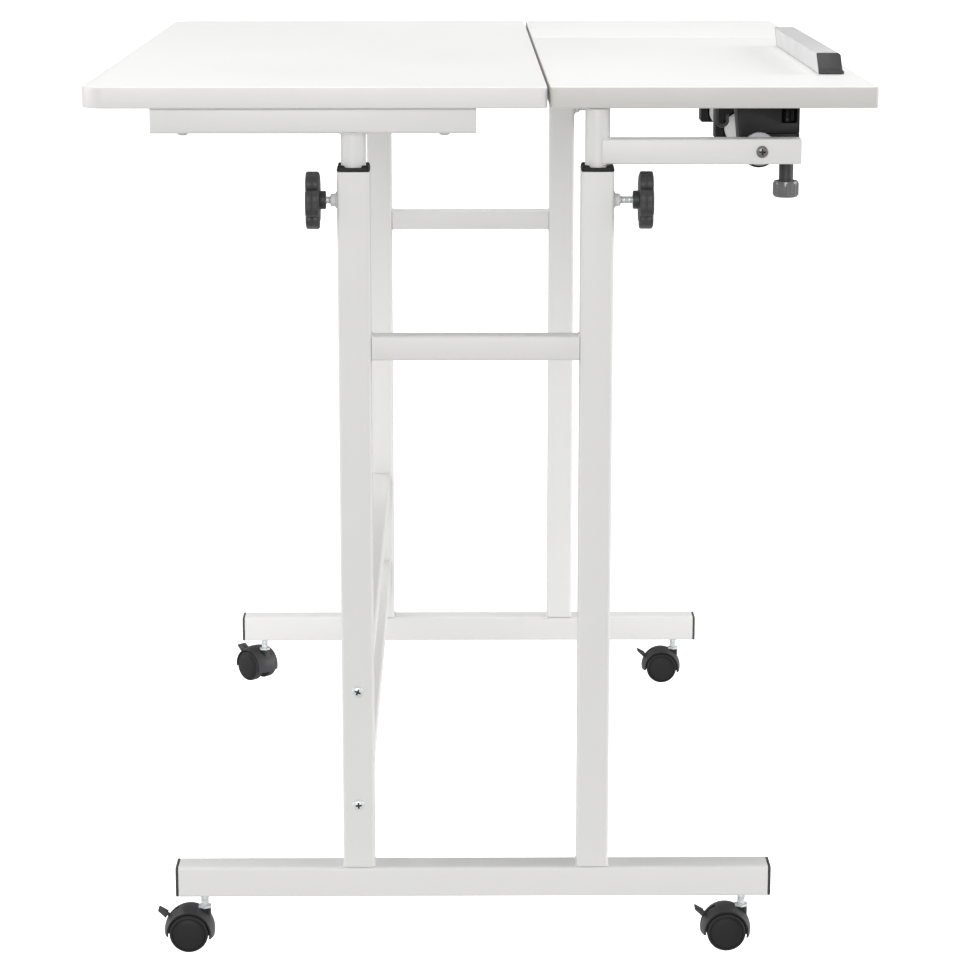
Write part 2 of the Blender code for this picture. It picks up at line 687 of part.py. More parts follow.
def clamp_mesh():
    body = prism([clamp_outline()], CLAMP_WIDTH, "X")
    top = PIVOT_BELOW_BOARD - SEAM
    screw_y = -CLAMP_SCREW_FROM_PIVOT
    window_top = top - CLAMP_WINDOW_BELOW_BOARD
    hole_bottom = -2 * CLAMP_JAW_BELOW_PIVOT
    hole_top = window_top - CLAMP_WINDOW_HEIGHT / 2
    hole_offset = (0.0, screw_y, (hole_bottom + hole_top) / 2)
    hole_length = hole_top - hole_bottom
    hole = cylinder(CLAMP_SCREW_DIAMETER + 2 * FIT, hole_length, "Z", SMALL_SEGMENTS, hole_offset)
    window_size = (2 * CLAMP_WINDOW_DEPTH, CLAMP_WINDOW_WIDTH, CLAMP_WINDOW_HEIGHT)
    window_offset = (-CLAMP_WIDTH / 2, screw_y, window_top - CLAMP_WINDOW_HEIGHT / 2)
    window = block(window_size, window_offset)
    return combined(body, [hole, window], "DIFFERENCE")


def clamp_screw_mesh():
    # Turned about Z with the origin at the lower jaw's underside
    top = CLAMP_JAW_BELOW_PIVOT + PIVOT_BELOW_BOARD - SEAM - CLAMP_WINDOW_BELOW_BOARD - FIT
    shank = CLAMP_SCREW_DIAMETER / 2
    sleeve = CLAMP_SLEEVE_DIAMETER / 2
    knob = CLAMP_KNOB_DIAMETER / 2
    edge = CLAMP_KNOB_EDGE
    shoulder = -SEAM
    knob_top = shoulder - CLAMP_SLEEVE_LENGTH
    knob_bottom = knob_top - CLAMP_KNOB_LENGTH
    profile = [(0.0, top), (shank, top), (shank, shoulder), (sleeve, shoulder), (sleeve, knob_top)]
    profile += [(knob - edge, knob_top), (knob, knob_top - edge), (knob, knob_bottom + edge)]
    profile += [(knob - edge, knob_bottom), (0.0, knob_bottom)]
    return turned(profile, "Z", SMALL_SEGMENTS)


def build_front_carriage():
    carriage = joint_empty("front_carriage", (0.0, front_post_y, post_top))
    arm_z = pivot_z - post_top
    tube_length = board_bottom - FRONT_TUBE_BELOW_BOARD - lift_tube_bottom
    tube = lift_tube_mesh(tube_length)
    arm = arm_mesh()
    bolt = pivot_bolt_mesh()
    bolt_x = frame_x + ARM_SIDE / 2 + SEAM
    for side, sign in SIDES.items():
        x = sign * frame_x
        place(f"{side}_front_lift_tube", tube, white_steel, carriage, (x, 0.0, lift_tube_bottom - post_top))
        place(f"{side}_arm", arm, white_steel, carriage, (x, 0.0, arm_z))
        bolt_turn = 0.0 if sign > 0 else 180.0
        bolt_place = (sign * bolt_x, -PIVOT_FROM_POST, arm_z)
        place(f"{side}_pivot_bolt", bolt, zinc, carriage, bolt_place, bolt_turn)
    place("tilt_tube", tilt_tube_mesh(), white_steel, carriage, (0.0, -PIVOT_FROM_POST, arm_z))
    front, split = FRONT_CORNER_RADIUS, SPLIT_CORNER_RADIUS
    side_board = board_mesh(side_board_width, FRONT_BOARD_DEPTH, (split, front, front, front))
    board_place = (side_board_x, front_board_y - front_post_y, board_middle - post_top)
    place("side_board", side_board, white_laminate, carriage, board_place)
    saddle = saddle_mesh()
    inner_x = side_board_x - side_board_width / 2 + SIDE_SADDLE_FROM_SPLIT + SADDLE_WIDTH / 2
    outer_x = arm_inner_x - CLAMP_FROM_ARM - SADDLE_WIDTH / 2
    for name, x in (("inner", inner_x), ("outer", outer_x)):
        saddle_place = (x, -PIVOT_FROM_POST, arm_z)
        place(f"side_board_{name}_saddle", saddle, black_plastic, carriage, saddle_place)
    build_tilt_top(carriage, arm_z)


# Tilting board with its clamps, ledge and hook


def ledge_body():
    # Section in Y and Z: the rear face leans over the board, the front slopes back to a rounded crown
    front = LEDGE_FOOT - LEDGE_DEPTH
    crown = (front + LEDGE_SLOPE + LEDGE_ROUND, LEDGE_HEIGHT - LEDGE_ROUND)
    top = arc(crown, LEDGE_ROUND, 90.0, 170.0, 4)
    return [(0.0, LEDGE_HEIGHT)] + top + [(front, LEDGE_FOOT_HEIGHT), (front, 0.0), (-LEDGE_LEAN, 0.0)]


def ledge_outline():
    # The body with a foot that stands out along its front
    body = ledge_body()
    foot = [(-LEDGE_DEPTH, LEDGE_FOOT_HEIGHT - LEDGE_FOOT), (-LEDGE_DEPTH, 0.0)]
    return body[:-2] + foot + body[-1:]


def ledge_cap_mesh(sign):
    plate = prism([ledge_outline()], LEDGE_CAP, "X", (sign * LEDGE_CAP / 2, 0.0, 0.0))
    overlap = LEDGE_CAP / 2
    insert_length = LEDGE_CAP_INSERT + overlap
    insert_offset = (sign * (overlap - insert_length / 2), 0.0, 0.0)
    insert = prism([inset(ledge_body(), LEDGE_WALL + FIT)], insert_length, "X", insert_offset)
    return combined(plate, [insert], "UNION")


def hook_mesh():
    # A bent wire: its shank goes up into the board, the bend opens towards the user
    bend_z = HOOK_BEND_RADIUS + HOOK_WIRE / 2 - HOOK_DROP
    bend = arc((-HOOK_BEND_RADIUS, bend_z), HOOK_BEND_RADIUS, 0.0, -180.0, 10)
    tip = (-2 * HOOK_BEND_RADIUS, bend_z + HOOK_TIP_RISE)
    route = [(0.0, HOOK_IN_BOARD)] + bend + [tip]
    curve = bpy.data.curves.new("wire", "CURVE")
    curve.dimensions = "3D"
    curve.bevel_depth = HOOK_WIRE / 2
    curve.bevel_resolution = 2
    curve.use_fill_caps = True
    spline = curve.splines.new("POLY")
    spline.points.add(len(route) - 1)
    for point, (y, z) in zip(spline.points, route):
        point.co = (0.0, y, z, 1.0)
    return mesh_of(scratch_object(curve))


def tilt_board_mesh(hook_x, hook_y):
    front, split = FRONT_CORNER_RADIUS, SPLIT_CORNER_RADIUS
    plate = board_mesh(TILT_BOARD_WIDTH, FRONT_BOARD_DEPTH, (front, split, front, front))
    depth = HOOK_IN_BOARD + SEAM
    offset = (hook_x, hook_y, -BOARD_THICKNESS / 2)
    hole = cylinder(HOOK_WIRE + 2 * FIT, 2 * depth, "Z", SMALL_SEGMENTS, offset)
    return combined(plate, [hole], "DIFFERENCE")


def build_tilt_top(carriage, arm_z):
    pivot = joint_empty("tilt_pivot", (0.0, -PIVOT_FROM_POST, arm_z), carriage)
    hook_x = HOOK_FROM_END - BOARD_WIDTH / 2
    hook_y = HOOK_BEHIND_PIVOT
    board_y = front_board_y - pivot_y
    board = tilt_board_mesh(hook_x - tilt_board_x, hook_y - board_y)
    board_up = PIVOT_BELOW_BOARD + BOARD_THICKNESS / 2
    place("tilt_board", board, white_laminate, pivot, (tilt_board_x, board_y, board_up))
    place("wire_hook", hook_mesh(), black_steel, pivot, (hook_x, hook_y, PIVOT_BELOW_BOARD))

    saddle = saddle_mesh()
    clamp = clamp_mesh()
    screw = clamp_screw_mesh()
    half_clamp_span = tilt_board_x + clamp_x
    for side, sign in SIDES.items():
        saddle_place = (tilt_board_x + sign * TILT_SADDLE_SPREAD / 2, 0.0, 0.0)
        place(f"{side}_tilt_saddle", saddle, black_plastic, pivot, saddle_place)
        x = tilt_board_x + sign * half_clamp_span
        place(f"{side}_tilt_clamp", clamp, black_plastic, pivot, (x, 0.0, 0.0))
        screw_place = (x, -CLAMP_SCREW_FROM_PIVOT, -CLAMP_JAW_BELOW_PIVOT)
        place(f"{side}_clamp_screw", screw, black_plastic, pivot, screw_place)

    body_length = LEDGE_LENGTH - 2 * (LEDGE_CAP + SEAM)
    ledge = prism([ledge_outline(), inset(ledge_body(), LEDGE_WALL)], body_length, "X")
    ledge_y = front_edge + LEDGE_FROM_FRONT + LEDGE_DEPTH - pivot_y
    ledge_z = PIVOT_BELOW_BOARD + BOARD_THICKNESS + SEAM
    place("ledge", ledge, aluminium, pivot, (tilt_board_x, ledge_y, ledge_z))
    for side, sign in SIDES.items():
        cap_x = tilt_board_x + sign * (body_length / 2 + SEAM)
        place(f"{side}_ledge_cap", ledge_cap_mesh(sign), black_plastic, pivot, (cap_x, ledge_y, ledge_z))


# Casters: drawn about the stem's axis, the wheels trailing towards +Y


def hood_mesh(axle, crown):
    # A shell that swells from its two rims to the crown, turned about the axle and cut open below
    half = HOOD_WIDTH / 2
    bow = (half**2 + HOOD_RISE**2) / (2 * HOOD_RISE)
    span = math.degrees(math.asin(half / bow))
    swell = arc((0.0, crown - bow), bow, 90.0 - span, 90.0 + span, HOOD_SWELL_SEGMENTS)
    outside = [(radius, across) for across, radius in swell]
    inside = [(radius - HOOD_WALL, across) for radius, across in reversed(outside)]
    shell = turned(outside + inside + outside[:1], "X", HOOD_SEGMENTS)
    shell.transform(Matrix.Translation((0.0, *axle)))
    first, last = HOOD_LEVER_SIDE_ANGLE, HOOD_STEM_SIDE_ANGLE
    sector = [axle] + arc(axle, 2 * crown, last, first + 360.0, 6)
    return combined(shell, [prism([sector], 2 * HOOD_WIDTH, "X")], "DIFFERENCE")


def caster_mesh(axle, pin_radius):
    # Hood over both wheels, a web between them, the stem's boss, nut and stem
    crown = WHEEL_DIAMETER / 2 + HOOD_GAP + HOOD_WALL + HOOD_RISE
    first, last = HOOD_LEVER_SIDE_ANGLE, HOOD_STEM_SIDE_ANGLE
    web_arc = arc(axle, crown - HOOD_WALL / 2, first, last, HOOD_SEGMENTS // 2)
    hub_arc = arc(axle, WEB_HUB_DIAMETER / 2, 225.0, 315.0, 4)
    web = prism([web_arc + hub_arc], WEB_THICKNESS, "X")
    boss_bottom = WHEEL_DIAMETER / 2
    boss_length = STEM_BOSS_HEIGHT - boss_bottom
    boss_offset = (0.0, 0.0, boss_bottom + boss_length / 2)
    boss = cylinder(STEM_BOSS_DIAMETER, boss_length, "Z", SMALL_SEGMENTS, boss_offset)
    nut_overlap = STEM_NUT_HEIGHT / 2
    nut_length = STEM_NUT_HEIGHT + nut_overlap
    nut_middle = STEM_BOSS_HEIGHT - nut_overlap + nut_length / 2
    nut = prism([hexagon(STEM_NUT_FLATS)], nut_length, "Z", (0.0, 0.0, nut_middle))
    stem_top = CASTER_HEIGHT + STEM_IN_FOOT
    stem_length = stem_top - STEM_BOSS_HEIGHT + nut_overlap
    stem = cylinder(STEM_DIAMETER, stem_length, "Z", SMALL_SEGMENTS, (0.0, 0.0, stem_top - stem_length / 2))
    body = combined(hood_mesh(axle, crown), [web, boss, nut, stem], "UNION")
    axle_hole = cylinder(AXLE_DIAMETER + 2 * SLIDE, 2 * HOOD_WIDTH, "X", SMALL_SEGMENTS, (0.0, *axle))
    return combined(body, [axle_hole] + brake_cutters(axle, crown, pin_radius), "DIFFERENCE")


def brake_cutters(axle, crown, pin_radius):
    # A slot along the hood's crown for the lever's tongue and the holes for its pins
    floor = pin_radius - BRAKE_EYE_RADIUS - SLIDE
    top = crown + HOOD_WALL
    high = BRAKE_ANGLE + BRAKE_SLOT_ABOVE
    low = BRAKE_ANGLE - BRAKE_SLOT_BELOW
    slot_arc = arc(axle, top, low, high, 6)
    floor_arc = arc(axle, floor, high, low, 6)
    slot = prism([slot_arc + floor_arc], BRAKE_TONGUE_WIDTH + 2 * SLIDE, "X")
    pin_y, pin_z = arc(axle, pin_radius, BRAKE_ANGLE, BRAKE_ANGLE, 1)[0]
    pin_length = BRAKE_TONGUE_WIDTH + 2 * (BRAKE_PIN_END + SLIDE)
    pins = cylinder(BRAKE_PIN_DIAMETER + 2 * SLIDE, pin_length, "X", SMALL_SEGMENTS, (0.0, pin_y, pin_z))
    return [slot, pins]


def wheels_mesh():
    # Two domed wheels on one axle, turned about X
    radius = WHEEL_DIAMETER / 2
    axle = AXLE_DIAMETER / 2
    outer = (WHEEL_SPACING + WHEEL_WIDTH) / 2
    inner = (WHEEL_SPACING - WHEEL_WIDTH) / 2
    edge = WHEEL_EDGE_RADIUS
    shoulder = outer - WHEEL_DOME
    half = [(0.0, outer), (radius / 2, outer - WHEEL_DOME / 4)]
    half += [(radius - edge + edge * up, shoulder - edge + edge * across)
             for across, up in arc((0.0, 0.0), 1.0, 0.0, 90.0, 2)]
    half += [(radius, inner), (axle, inner)]
    profile = half + [(across, -height) for across, height in reversed(half)]
    return turned(profile, "X", WHEEL_SEGMENTS)


def brake_mesh():
    # Lever about its pin: an eye in the hood, a tongue through the slot and a tab for the toe
    eye = cylinder(2 * BRAKE_EYE_RADIUS, BRAKE_TONGUE_WIDTH, "X")
    tongue_end = (BRAKE_TAB_START + BRAKE_LENGTH) / 2
    tongue_size = (BRAKE_TONGUE_WIDTH, tongue_end, BRAKE_TONGUE_THICKNESS)
    tongue = block(tongue_size, (0.0, tongue_end / 2, BRAKE_TOE_RADIUS - BRAKE_TONGUE_THICKNESS / 2))
    toe = arc((BRAKE_LENGTH - BRAKE_TOE_RADIUS, 0.0), BRAKE_TOE_RADIUS, -90.0, 90.0, 4)
    heel = [(BRAKE_TAB_START, BRAKE_TOE_RADIUS), (BRAKE_TAB_START, -BRAKE_HEEL_DEPTH)]
    tab = prism([toe + heel], BRAKE_TAB_WIDTH, "X")
    pin = cylinder(BRAKE_PIN_DIAMETER, BRAKE_TONGUE_WIDTH + 2 * BRAKE_PIN_END, "X")
    mesh = combined(eye, [tongue, tab, pin], "UNION")
    mesh.transform(Matrix.Rotation(math.radians(BRAKE_LEAN), 4, "X"))
    return mesh


def build_casters():
    axle = (CASTER_TRAIL, WHEEL_DIAMETER / 2)
    pin_radius = WHEEL_DIAMETER / 2 + BRAKE_PIN_ABOVE_WHEEL
    housing = caster_mesh(axle, pin_radius)
    wheels = wheels_mesh()
    brake = brake_mesh()
    pin_y, pin_z = arc(axle, pin_radius, BRAKE_ANGLE, BRAKE_ANGLE, 1)[0]
    for side, sign in SIDES.items():
        for end, toward in ENDS.items():
            name = f"{side}_{end}"
            y = foot_y + toward * (FOOT_LENGTH / 2 - STEM_INSET)
            turn = PARKED_SWIVEL.get(name, 0.0)
            body = place(f"{name}_caster", housing, black_plastic, None, (sign * frame_x, y, 0.0), turn)
            place(f"{name}_wheels", wheels, black_plastic, body, (0.0, *axle))
            place(f"{name}_brake", brake, black_plastic, body, (0.0, pin_y, pin_z))


clear_scene()
desk = new_collection("sit_stand_desk")
cutters = new_collection("cutters")
white_steel = material("white_powder_coat", (0.83, 0.83, 0.81), 0.38)
white_laminate = material("white_laminate", (0.86, 0.86, 0.84), 0.45)
black_plastic = material("black_plastic", (0.025, 0.025, 0.027), 0.5)
black_steel = material("black_wire", (0.02, 0.02, 0.02), 0.35)
aluminium = material("satin_aluminium", (0.72, 0.72, 0.73), 0.35, 1.0)
zinc = material("zinc_plate", (0.70, 0.71, 0.72), 0.3, 1.0)
build_frame()
build_knobs()
build_rear_carriage()
build_front_carriage()
build_casters()
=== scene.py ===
import math
import bmesh
import bpy
from mathutils import Matrix, Vector


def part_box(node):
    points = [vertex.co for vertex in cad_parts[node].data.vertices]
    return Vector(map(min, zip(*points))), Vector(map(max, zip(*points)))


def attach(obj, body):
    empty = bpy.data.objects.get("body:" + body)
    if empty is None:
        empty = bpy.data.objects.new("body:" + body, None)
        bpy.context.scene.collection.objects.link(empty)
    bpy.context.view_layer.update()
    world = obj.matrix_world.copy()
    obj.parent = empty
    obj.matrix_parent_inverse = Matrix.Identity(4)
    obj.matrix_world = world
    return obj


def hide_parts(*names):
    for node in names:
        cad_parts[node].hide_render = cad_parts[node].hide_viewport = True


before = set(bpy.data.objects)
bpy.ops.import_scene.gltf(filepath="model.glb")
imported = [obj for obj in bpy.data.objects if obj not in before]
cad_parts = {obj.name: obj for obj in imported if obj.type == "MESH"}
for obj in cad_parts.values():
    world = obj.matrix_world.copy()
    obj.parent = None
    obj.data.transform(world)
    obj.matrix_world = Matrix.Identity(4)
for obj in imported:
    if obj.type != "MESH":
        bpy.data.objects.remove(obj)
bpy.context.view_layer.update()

scene = bpy.context.scene
sides = {"left": -1, "right": 1}
ends = {"front": -1, "rear": 1}
overrun = 0.01  # how far a cutter reaches past what it cuts
leastCorner = 0.0006
tubeRim = 0.0003  # broken edge at a tube's cut ends


# small mesh tools

axisOrder = {
    "X": lambda u, v, w: (w, u, v),
    "Y": lambda u, v, w: (u, w, v),
    "Z": lambda u, v, w: (u, v, w),
}
crossAxes = {"X": (1, 2), "Y": (0, 2), "Z": (0, 1)}


def middleOf(low, high):
    return [(a + b) / 2 for a, b in zip(low, high)]


def faceOf(box, axis, toward):  # where a box ends along an axis
    return box[1 if toward > 0 else 0]["XYZ".index(axis)]


def arcPoints(cx, cy, radius, start, end, steps):
    turns = [math.radians(start + (end - start) * step / steps) for step in range(steps + 1)]
    return [(cx + radius * math.cos(turn), cy + radius * math.sin(turn)) for turn in turns]


def circleLoop(radius, steps, cx=0.0, cy=0.0):
    return arcPoints(cx, cy, radius, 0, 360, steps)[:-1]


def roundedLoop(width, height, radii, steps=5, cx=0.0, cy=0.0):
    if isinstance(radii, float):
        radii = [radii] * 4
    loop = []
    for corner, (sx, sy) in enumerate(((1, 1), (-1, 1), (-1, -1), (1, -1))):  # counter-clockwise
        r = radii[corner]
        middle = (cx + sx * (width / 2 - r), cy + sy * (height / 2 - r))
        loop += arcPoints(*middle, r, 90 * corner, 90 * corner + 90, steps)
    return loop


def insetLoop(loop, distance):
    if not distance:
        return loop
    inset = []
    for i, (x, y) in enumerate(loop):
        normals = []
        for (ax, ay), (bx, by) in ((loop[i - 1], (x, y)), ((x, y), loop[(i + 1) % len(loop)])):
            length = math.hypot(bx - ax, by - ay)
            normals.append(((ay - by) / length, (bx - ax) / length))
        (nx, ny), (mx, my) = normals
        k = distance / max(0.35, 1 + nx * mx + ny * my)  # held back at a sharp corner
        inset.append((x + k * (nx + mx), y + k * (ny + my)))
    return inset


def roundRows(edge, steps):  # (gap, rise) over a rounded rim, from its face to its side
    turns = [math.pi / 2 * step / steps for step in range(steps + 1)]
    return [(edge * (1 - math.sin(turn)), edge * (1 - math.cos(turn))) for turn in turns]


def cleaned(mesh):
    shape = bmesh.new()
    shape.from_mesh(mesh)
    bmesh.ops.remove_doubles(shape, verts=shape.verts, dist=2e-7)
    bmesh.ops.dissolve_degenerate(shape, edges=shape.edges, dist=1e-8)
    bmesh.ops.recalc_face_normals(shape, faces=shape.faces)
    shape.to_mesh(mesh)
    shape.free()
    return mesh


def skinMesh(layers, closed=False):  # layers of one length joined by quads, open ends get a cap
    count = len(layers[0])
    points = [point for layer in layers for point in layer]
    faces = []
    for row in range(len(layers) if closed else len(layers) - 1):
        here, there = row * count, (row + 1) % len(layers) * count
        for i in range(count):
            j = (i + 1) % count
            faces.append((here + i, here + j, there + j, there + i))
    if not closed:
        faces.append(tuple(range(count)))
        faces.append(tuple(range(len(points) - count, len(points))))
    mesh = bpy.data.meshes.new("shape")
    mesh.from_pydata(points, [], faces)
    return cleaned(mesh)


def stacked(rows, axis, closed=False):  # rows of (loop, along)
    order = axisOrder[axis]
    return skinMesh([[order(u, v, at) for u, v in loop] for loop, at in rows], closed)


def plainPrism(loop, span, axis="X"):
    return stacked([(loop, at) for at in span], axis)


def softPrism(loop, low, high, edge, axis="Z", steps=3):  # an outline pulled along an axis, both rims rounded
    rims = roundRows(edge, steps)
    rows = [(gap, low + rise) for gap, rise in rims] + [(gap, high - rise) for gap, rise in reversed(rims)]
    return stacked([(insetLoop(loop, gap), at) for gap, at in rows], axis)


def turnedMesh(profile, axis="Z", steps=40, closed=False, cu=0.0, cv=0.0):  # profile of (radius, along)
    ring = circleLoop(1.0, steps)
    return stacked([([(cu + r * c, cv + r * s) for c, s in ring], at) for r, at in profile], axis, closed)


def barLoop(low, high, axis, corner, shrink=0.0, steps=5):
    u, v = crossAxes[axis]
    middle = middleOf(low, high)
    width, height = high[u] - low[u] - 2 * shrink, high[v] - low[v] - 2 * shrink
    return roundedLoop(width, height, corner, steps, middle[u], middle[v])


def hollowBar(low, high, axis, corner, wall):
    start, end = (point["XYZ".index(axis)] for point in (low, high))
    outer = barLoop(low, high, axis, corner)
    inner = barLoop(low, high, axis, max(corner - wall, leastCorner), wall)
    rim = insetLoop(outer, tubeRim)
    rows = [(rim, start), (outer, start + tubeRim), (outer, end - tubeRim), (rim, end), (inner, end), (inner, start)]
    return stacked(rows, axis, closed=True)


def moved(mesh, x=0.0, y=0.0, z=0.0, turn=0.0, axis="Z"):
    mesh.transform(Matrix.Translation((x, y, z)) @ Matrix.Rotation(turn, 4, axis))
    return mesh


def joined(*meshes):
    shape = bmesh.new()
    for mesh in meshes:
        shape.from_mesh(mesh)
    whole = bpy.data.meshes.new("joined")
    shape.to_mesh(whole)
    shape.free()
    return whole


def scratch(mesh):
    made = bpy.data.objects.new("scratch", mesh)
    scene.collection.objects.link(made)
    return made


def evaluatedMesh(made):
    graph = bpy.context.evaluated_depsgraph_get()
    mesh = bpy.data.meshes.new_from_object(made.evaluated_get(graph))
    bpy.data.objects.remove(made)
    return mesh


def carved(mesh, *cutters, keep="DIFFERENCE"):
    body = scratch(mesh)
    tools = [scratch(cutter) for cutter in cutters]
    for tool in tools:
        step = body.modifiers.new("carve", "BOOLEAN")
        step.operation = keep
        step.solver = "EXACT"
        step.object = tool
    made = evaluatedMesh(body)
    for tool in tools:
        bpy.data.objects.remove(tool)
    return cleaned(made)


def softened(mesh, width, steps=2, angle=40):
    body = scratch(mesh)
    bevel = body.modifiers.new("rims", "BEVEL")
    bevel.width = width
    bevel.segments = steps
    bevel.limit_method = "ANGLE"
    bevel.angle_limit = math.radians(angle)
    return cleaned(evaluatedMesh(body))


def slab(x, y, z):  # a plain cutter over three spans
    return plainPrism(((y[0], z[0]), (y[1], z[0]), (y[1], z[1]), (y[0], z[1])), x)


def rod(diameter, low, high, axis, cu, cv, steps=32):
    return turnedMesh([(0, low), (diameter / 2, low), (diameter / 2, high), (0, high)], axis, steps, False, cu, cv)


def paintFaces(mesh, index, test):
    for face in mesh.polygons:
        if test(face):
            face.material_index = index


def makePiece(name, mesh, finishes, body, stands=(), sharp=40):  # its finishes fill the mesh's material slots in the given order
    mesh.name = name
    painted = [face.material_index for face in mesh.polygons]
    mesh.materials.clear()
    for finish in finishes:
        mesh.materials.append(finish)
    mesh.polygons.foreach_set("material_index", painted)
    mesh.shade_smooth()
    mesh.set_sharp_from_angle(angle=math.radians(sharp))
    piece = bpy.data.objects.new(name, mesh)
    scene.collection.objects.link(piece)
    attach(piece, body)
    if stands:
        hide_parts(*stands)
    return piece


# node tools

def newTree(name, family, inputs, outputs):
    tree = bpy.data.node_groups.new(name, family)
    for label, kind, value in inputs:
        socket = tree.interface.new_socket(label, in_out="INPUT", socket_type=f"NodeSocket{kind}")
        if value is not None:
            socket.default_value = value
    for label, kind in outputs:
        tree.interface.new_socket(label, in_out="OUTPUT", socket_type=f"NodeSocket{kind}")
    return tree, tree.nodes.new("NodeGroupInput"), tree.nodes.new("NodeGroupOutput")


def addNode(tree, kind, inputs=None, **settings):
    node = tree.nodes.new(kind)
    for label, value in settings.items():
        setattr(node, label, value)
    for label, value in (inputs or {}).items():
        node.inputs[label].default_value = value
    return node


def wire(tree, *runs):  # each run is a node, its output, the next node and its input
    for source, output, target, socket in runs:
        tree.links.new(source.outputs[output], target.inputs[socket])


# shader groups shared by the finishes

def noiseIn(group, coords, start, scaleFrom, detail, rough=0.5):
    noise = addNode(group, "ShaderNodeTexNoise", {"Detail": detail, "Roughness": rough})
    wire(group, (coords, "Object", noise, "Vector"), (start, scaleFrom, noise, "Scale"))
    return noise


def makeGrain():  # fine relief of a coat or mould
    group, start, end = newTree("surfaceGrain", "ShaderNodeTree", (
        ("Fine Scale", "Float", 900.0), ("Broad Scale", "Float", 120.0), ("Fine Share", "Float", 0.5),
    ), (("Height", "Float"),))
    coords = addNode(group, "ShaderNodeTexCoord")
    fine = noiseIn(group, coords, start, "Fine Scale", 2.0)
    broad = noiseIn(group, coords, start, "Broad Scale", 3.0)
    blend = addNode(group, "ShaderNodeMix")
    wire(group, (start, "Fine Share", blend, "Factor"), (broad, "Fac", blend, "A"), (fine, "Fac", blend, "B"),
         (blend, "Result", end, "Height"))
    return group


def makeDrift():  # slow change of tone and gloss over a surface
    group, start, end = newTree("toneDrift", "ShaderNodeTree", (
        ("Tone", "Color", (0.8, 0.8, 0.8, 1.0)), ("Other Tone", "Color", (0.7, 0.7, 0.7, 1.0)),
        ("Scale", "Float", 14.0), ("Low Gloss", "Float", 0.3), ("High Gloss", "Float", 0.45),
    ), (("Color", "Color"), ("Roughness", "Float")))
    coords = addNode(group, "ShaderNodeTexCoord")
    noise = noiseIn(group, coords, start, "Scale", 4.0, 0.6)
    spread = addNode(group, "ShaderNodeMapRange", {"From Min": 0.3, "From Max": 0.7})
    tint = addNode(group, "ShaderNodeMix", data_type="RGBA")
    gloss = addNode(group, "ShaderNodeMix")
    wire(group, (noise, "Fac", spread, "Value"), (spread, "Result", tint, "Factor"),
         (start, "Tone", tint, 6), (start, "Other Tone", tint, 7),  # the mix's colour sockets
         (spread, "Result", gloss, "Factor"), (start, "Low Gloss", gloss, "A"), (start, "High Gloss", gloss, "B"),
         (tint, 2, end, "Color"), (gloss, "Result", end, "Roughness"))
    return group


grainGroup = makeGrain()
driftGroup = makeDrift()
grains = {  # fine and broad scale, share of the fine one, bump strength, relief in metres
    "coat": (1500.0, 420.0, 0.4, 0.25, 0.00008), "board": (2200.0, 700.0, 0.5, 0.3, 0.00006),
    "band": (1800.0, 300.0, 0.5, 0.25, 0.00006), "mould": (3200.0, 900.0, 0.6, 0.35, 0.00007),
    "grip": (2600.0, 700.0, 0.4, 0.15, 0.00005), "tread": (2400.0, 500.0, 0.5, 0.4, 0.00009),
    "wire": (2600.0, 700.0, 0.4, 0.25, 0.00005), "satin": (2000.0, 380.0, 0.4, 0.2, 0.00005),
    "zinc": (2600.0, 900.0, 0.4, 0.25, 0.00005), "dull": (2600.0, 900.0, 0.4, 0.3, 0.00006),
    "floor": (300.0, 40.0, 0.5, 0.02, 0.0001),
}


def makeFinish(name, grainName, tone, otherTone, driftScale, gloss, metal=0.0, ior=1.5):
    fineScale, broadScale, fineShare, strength, relief = grains[grainName]
    finish = bpy.data.materials.new(name)
    finish.use_nodes = True
    tree = finish.node_tree
    shader = tree.nodes["Principled BSDF"]
    shader.inputs["Metallic"].default_value = metal
    shader.inputs["IOR"].default_value = ior
    drift = addNode(tree, "ShaderNodeGroup", {
        "Tone": (*tone, 1.0), "Other Tone": (*otherTone, 1.0), "Scale": driftScale,
        "Low Gloss": gloss[0], "High Gloss": gloss[1]}, node_tree=driftGroup)
    grain = addNode(tree, "ShaderNodeGroup", {
        "Fine Scale": fineScale, "Broad Scale": broadScale, "Fine Share": fineShare}, node_tree=grainGroup)
    bump = addNode(tree, "ShaderNodeBump", {"Strength": strength, "Distance": relief})
    wire(tree, (drift, "Color", shader, "Base Color"), (drift, "Roughness", shader, "Roughness"),
         (grain, "Height", bump, "Height"), (bump, "Normal", shader, "Normal"))
    return finish


# each finish: grain, two tones, scale of the drift between them, lowest and highest roughness
whiteCoat = makeFinish(
    "whitePowderCoat", "coat", (0.75, 0.747, 0.735), (0.735, 0.732, 0.72), 9.0, (0.34, 0.44))
boardFace = makeFinish(
    "whiteMelamine", "board", (0.87, 0.87, 0.862), (0.855, 0.855, 0.847), 6.0, (0.40, 0.50))
boardBand = makeFinish(
    "whiteEdgeBand", "band", (0.77, 0.765, 0.755), (0.755, 0.75, 0.74), 16.0, (0.36, 0.46))
warmBand = makeFinish(
    "warmEdgeBand", "band", (0.63, 0.612, 0.582), (0.615, 0.597, 0.567), 16.0, (0.36, 0.46))
blackMould = makeFinish(
    "blackMouldedPlastic", "mould", (0.034, 0.034, 0.036), (0.042, 0.042, 0.044), 60.0, (0.42, 0.56))
# near-black plastic of the guides, saddles, clamps and wheel faces, also used as painted shade on the caster hoods'
# rims and insides
darkMouldAndShade = makeFinish(
    "darkPlasticAndPaintedShade", "mould", (0.009, 0.009, 0.0098), (0.013, 0.013, 0.014), 60.0, (0.45, 0.60), ior=1.33)
greyGrip = makeFinish(
    "glossyGreyGrip", "grip", (0.17, 0.17, 0.172), (0.12, 0.12, 0.122), 90.0, (0.14, 0.22), ior=1.6)
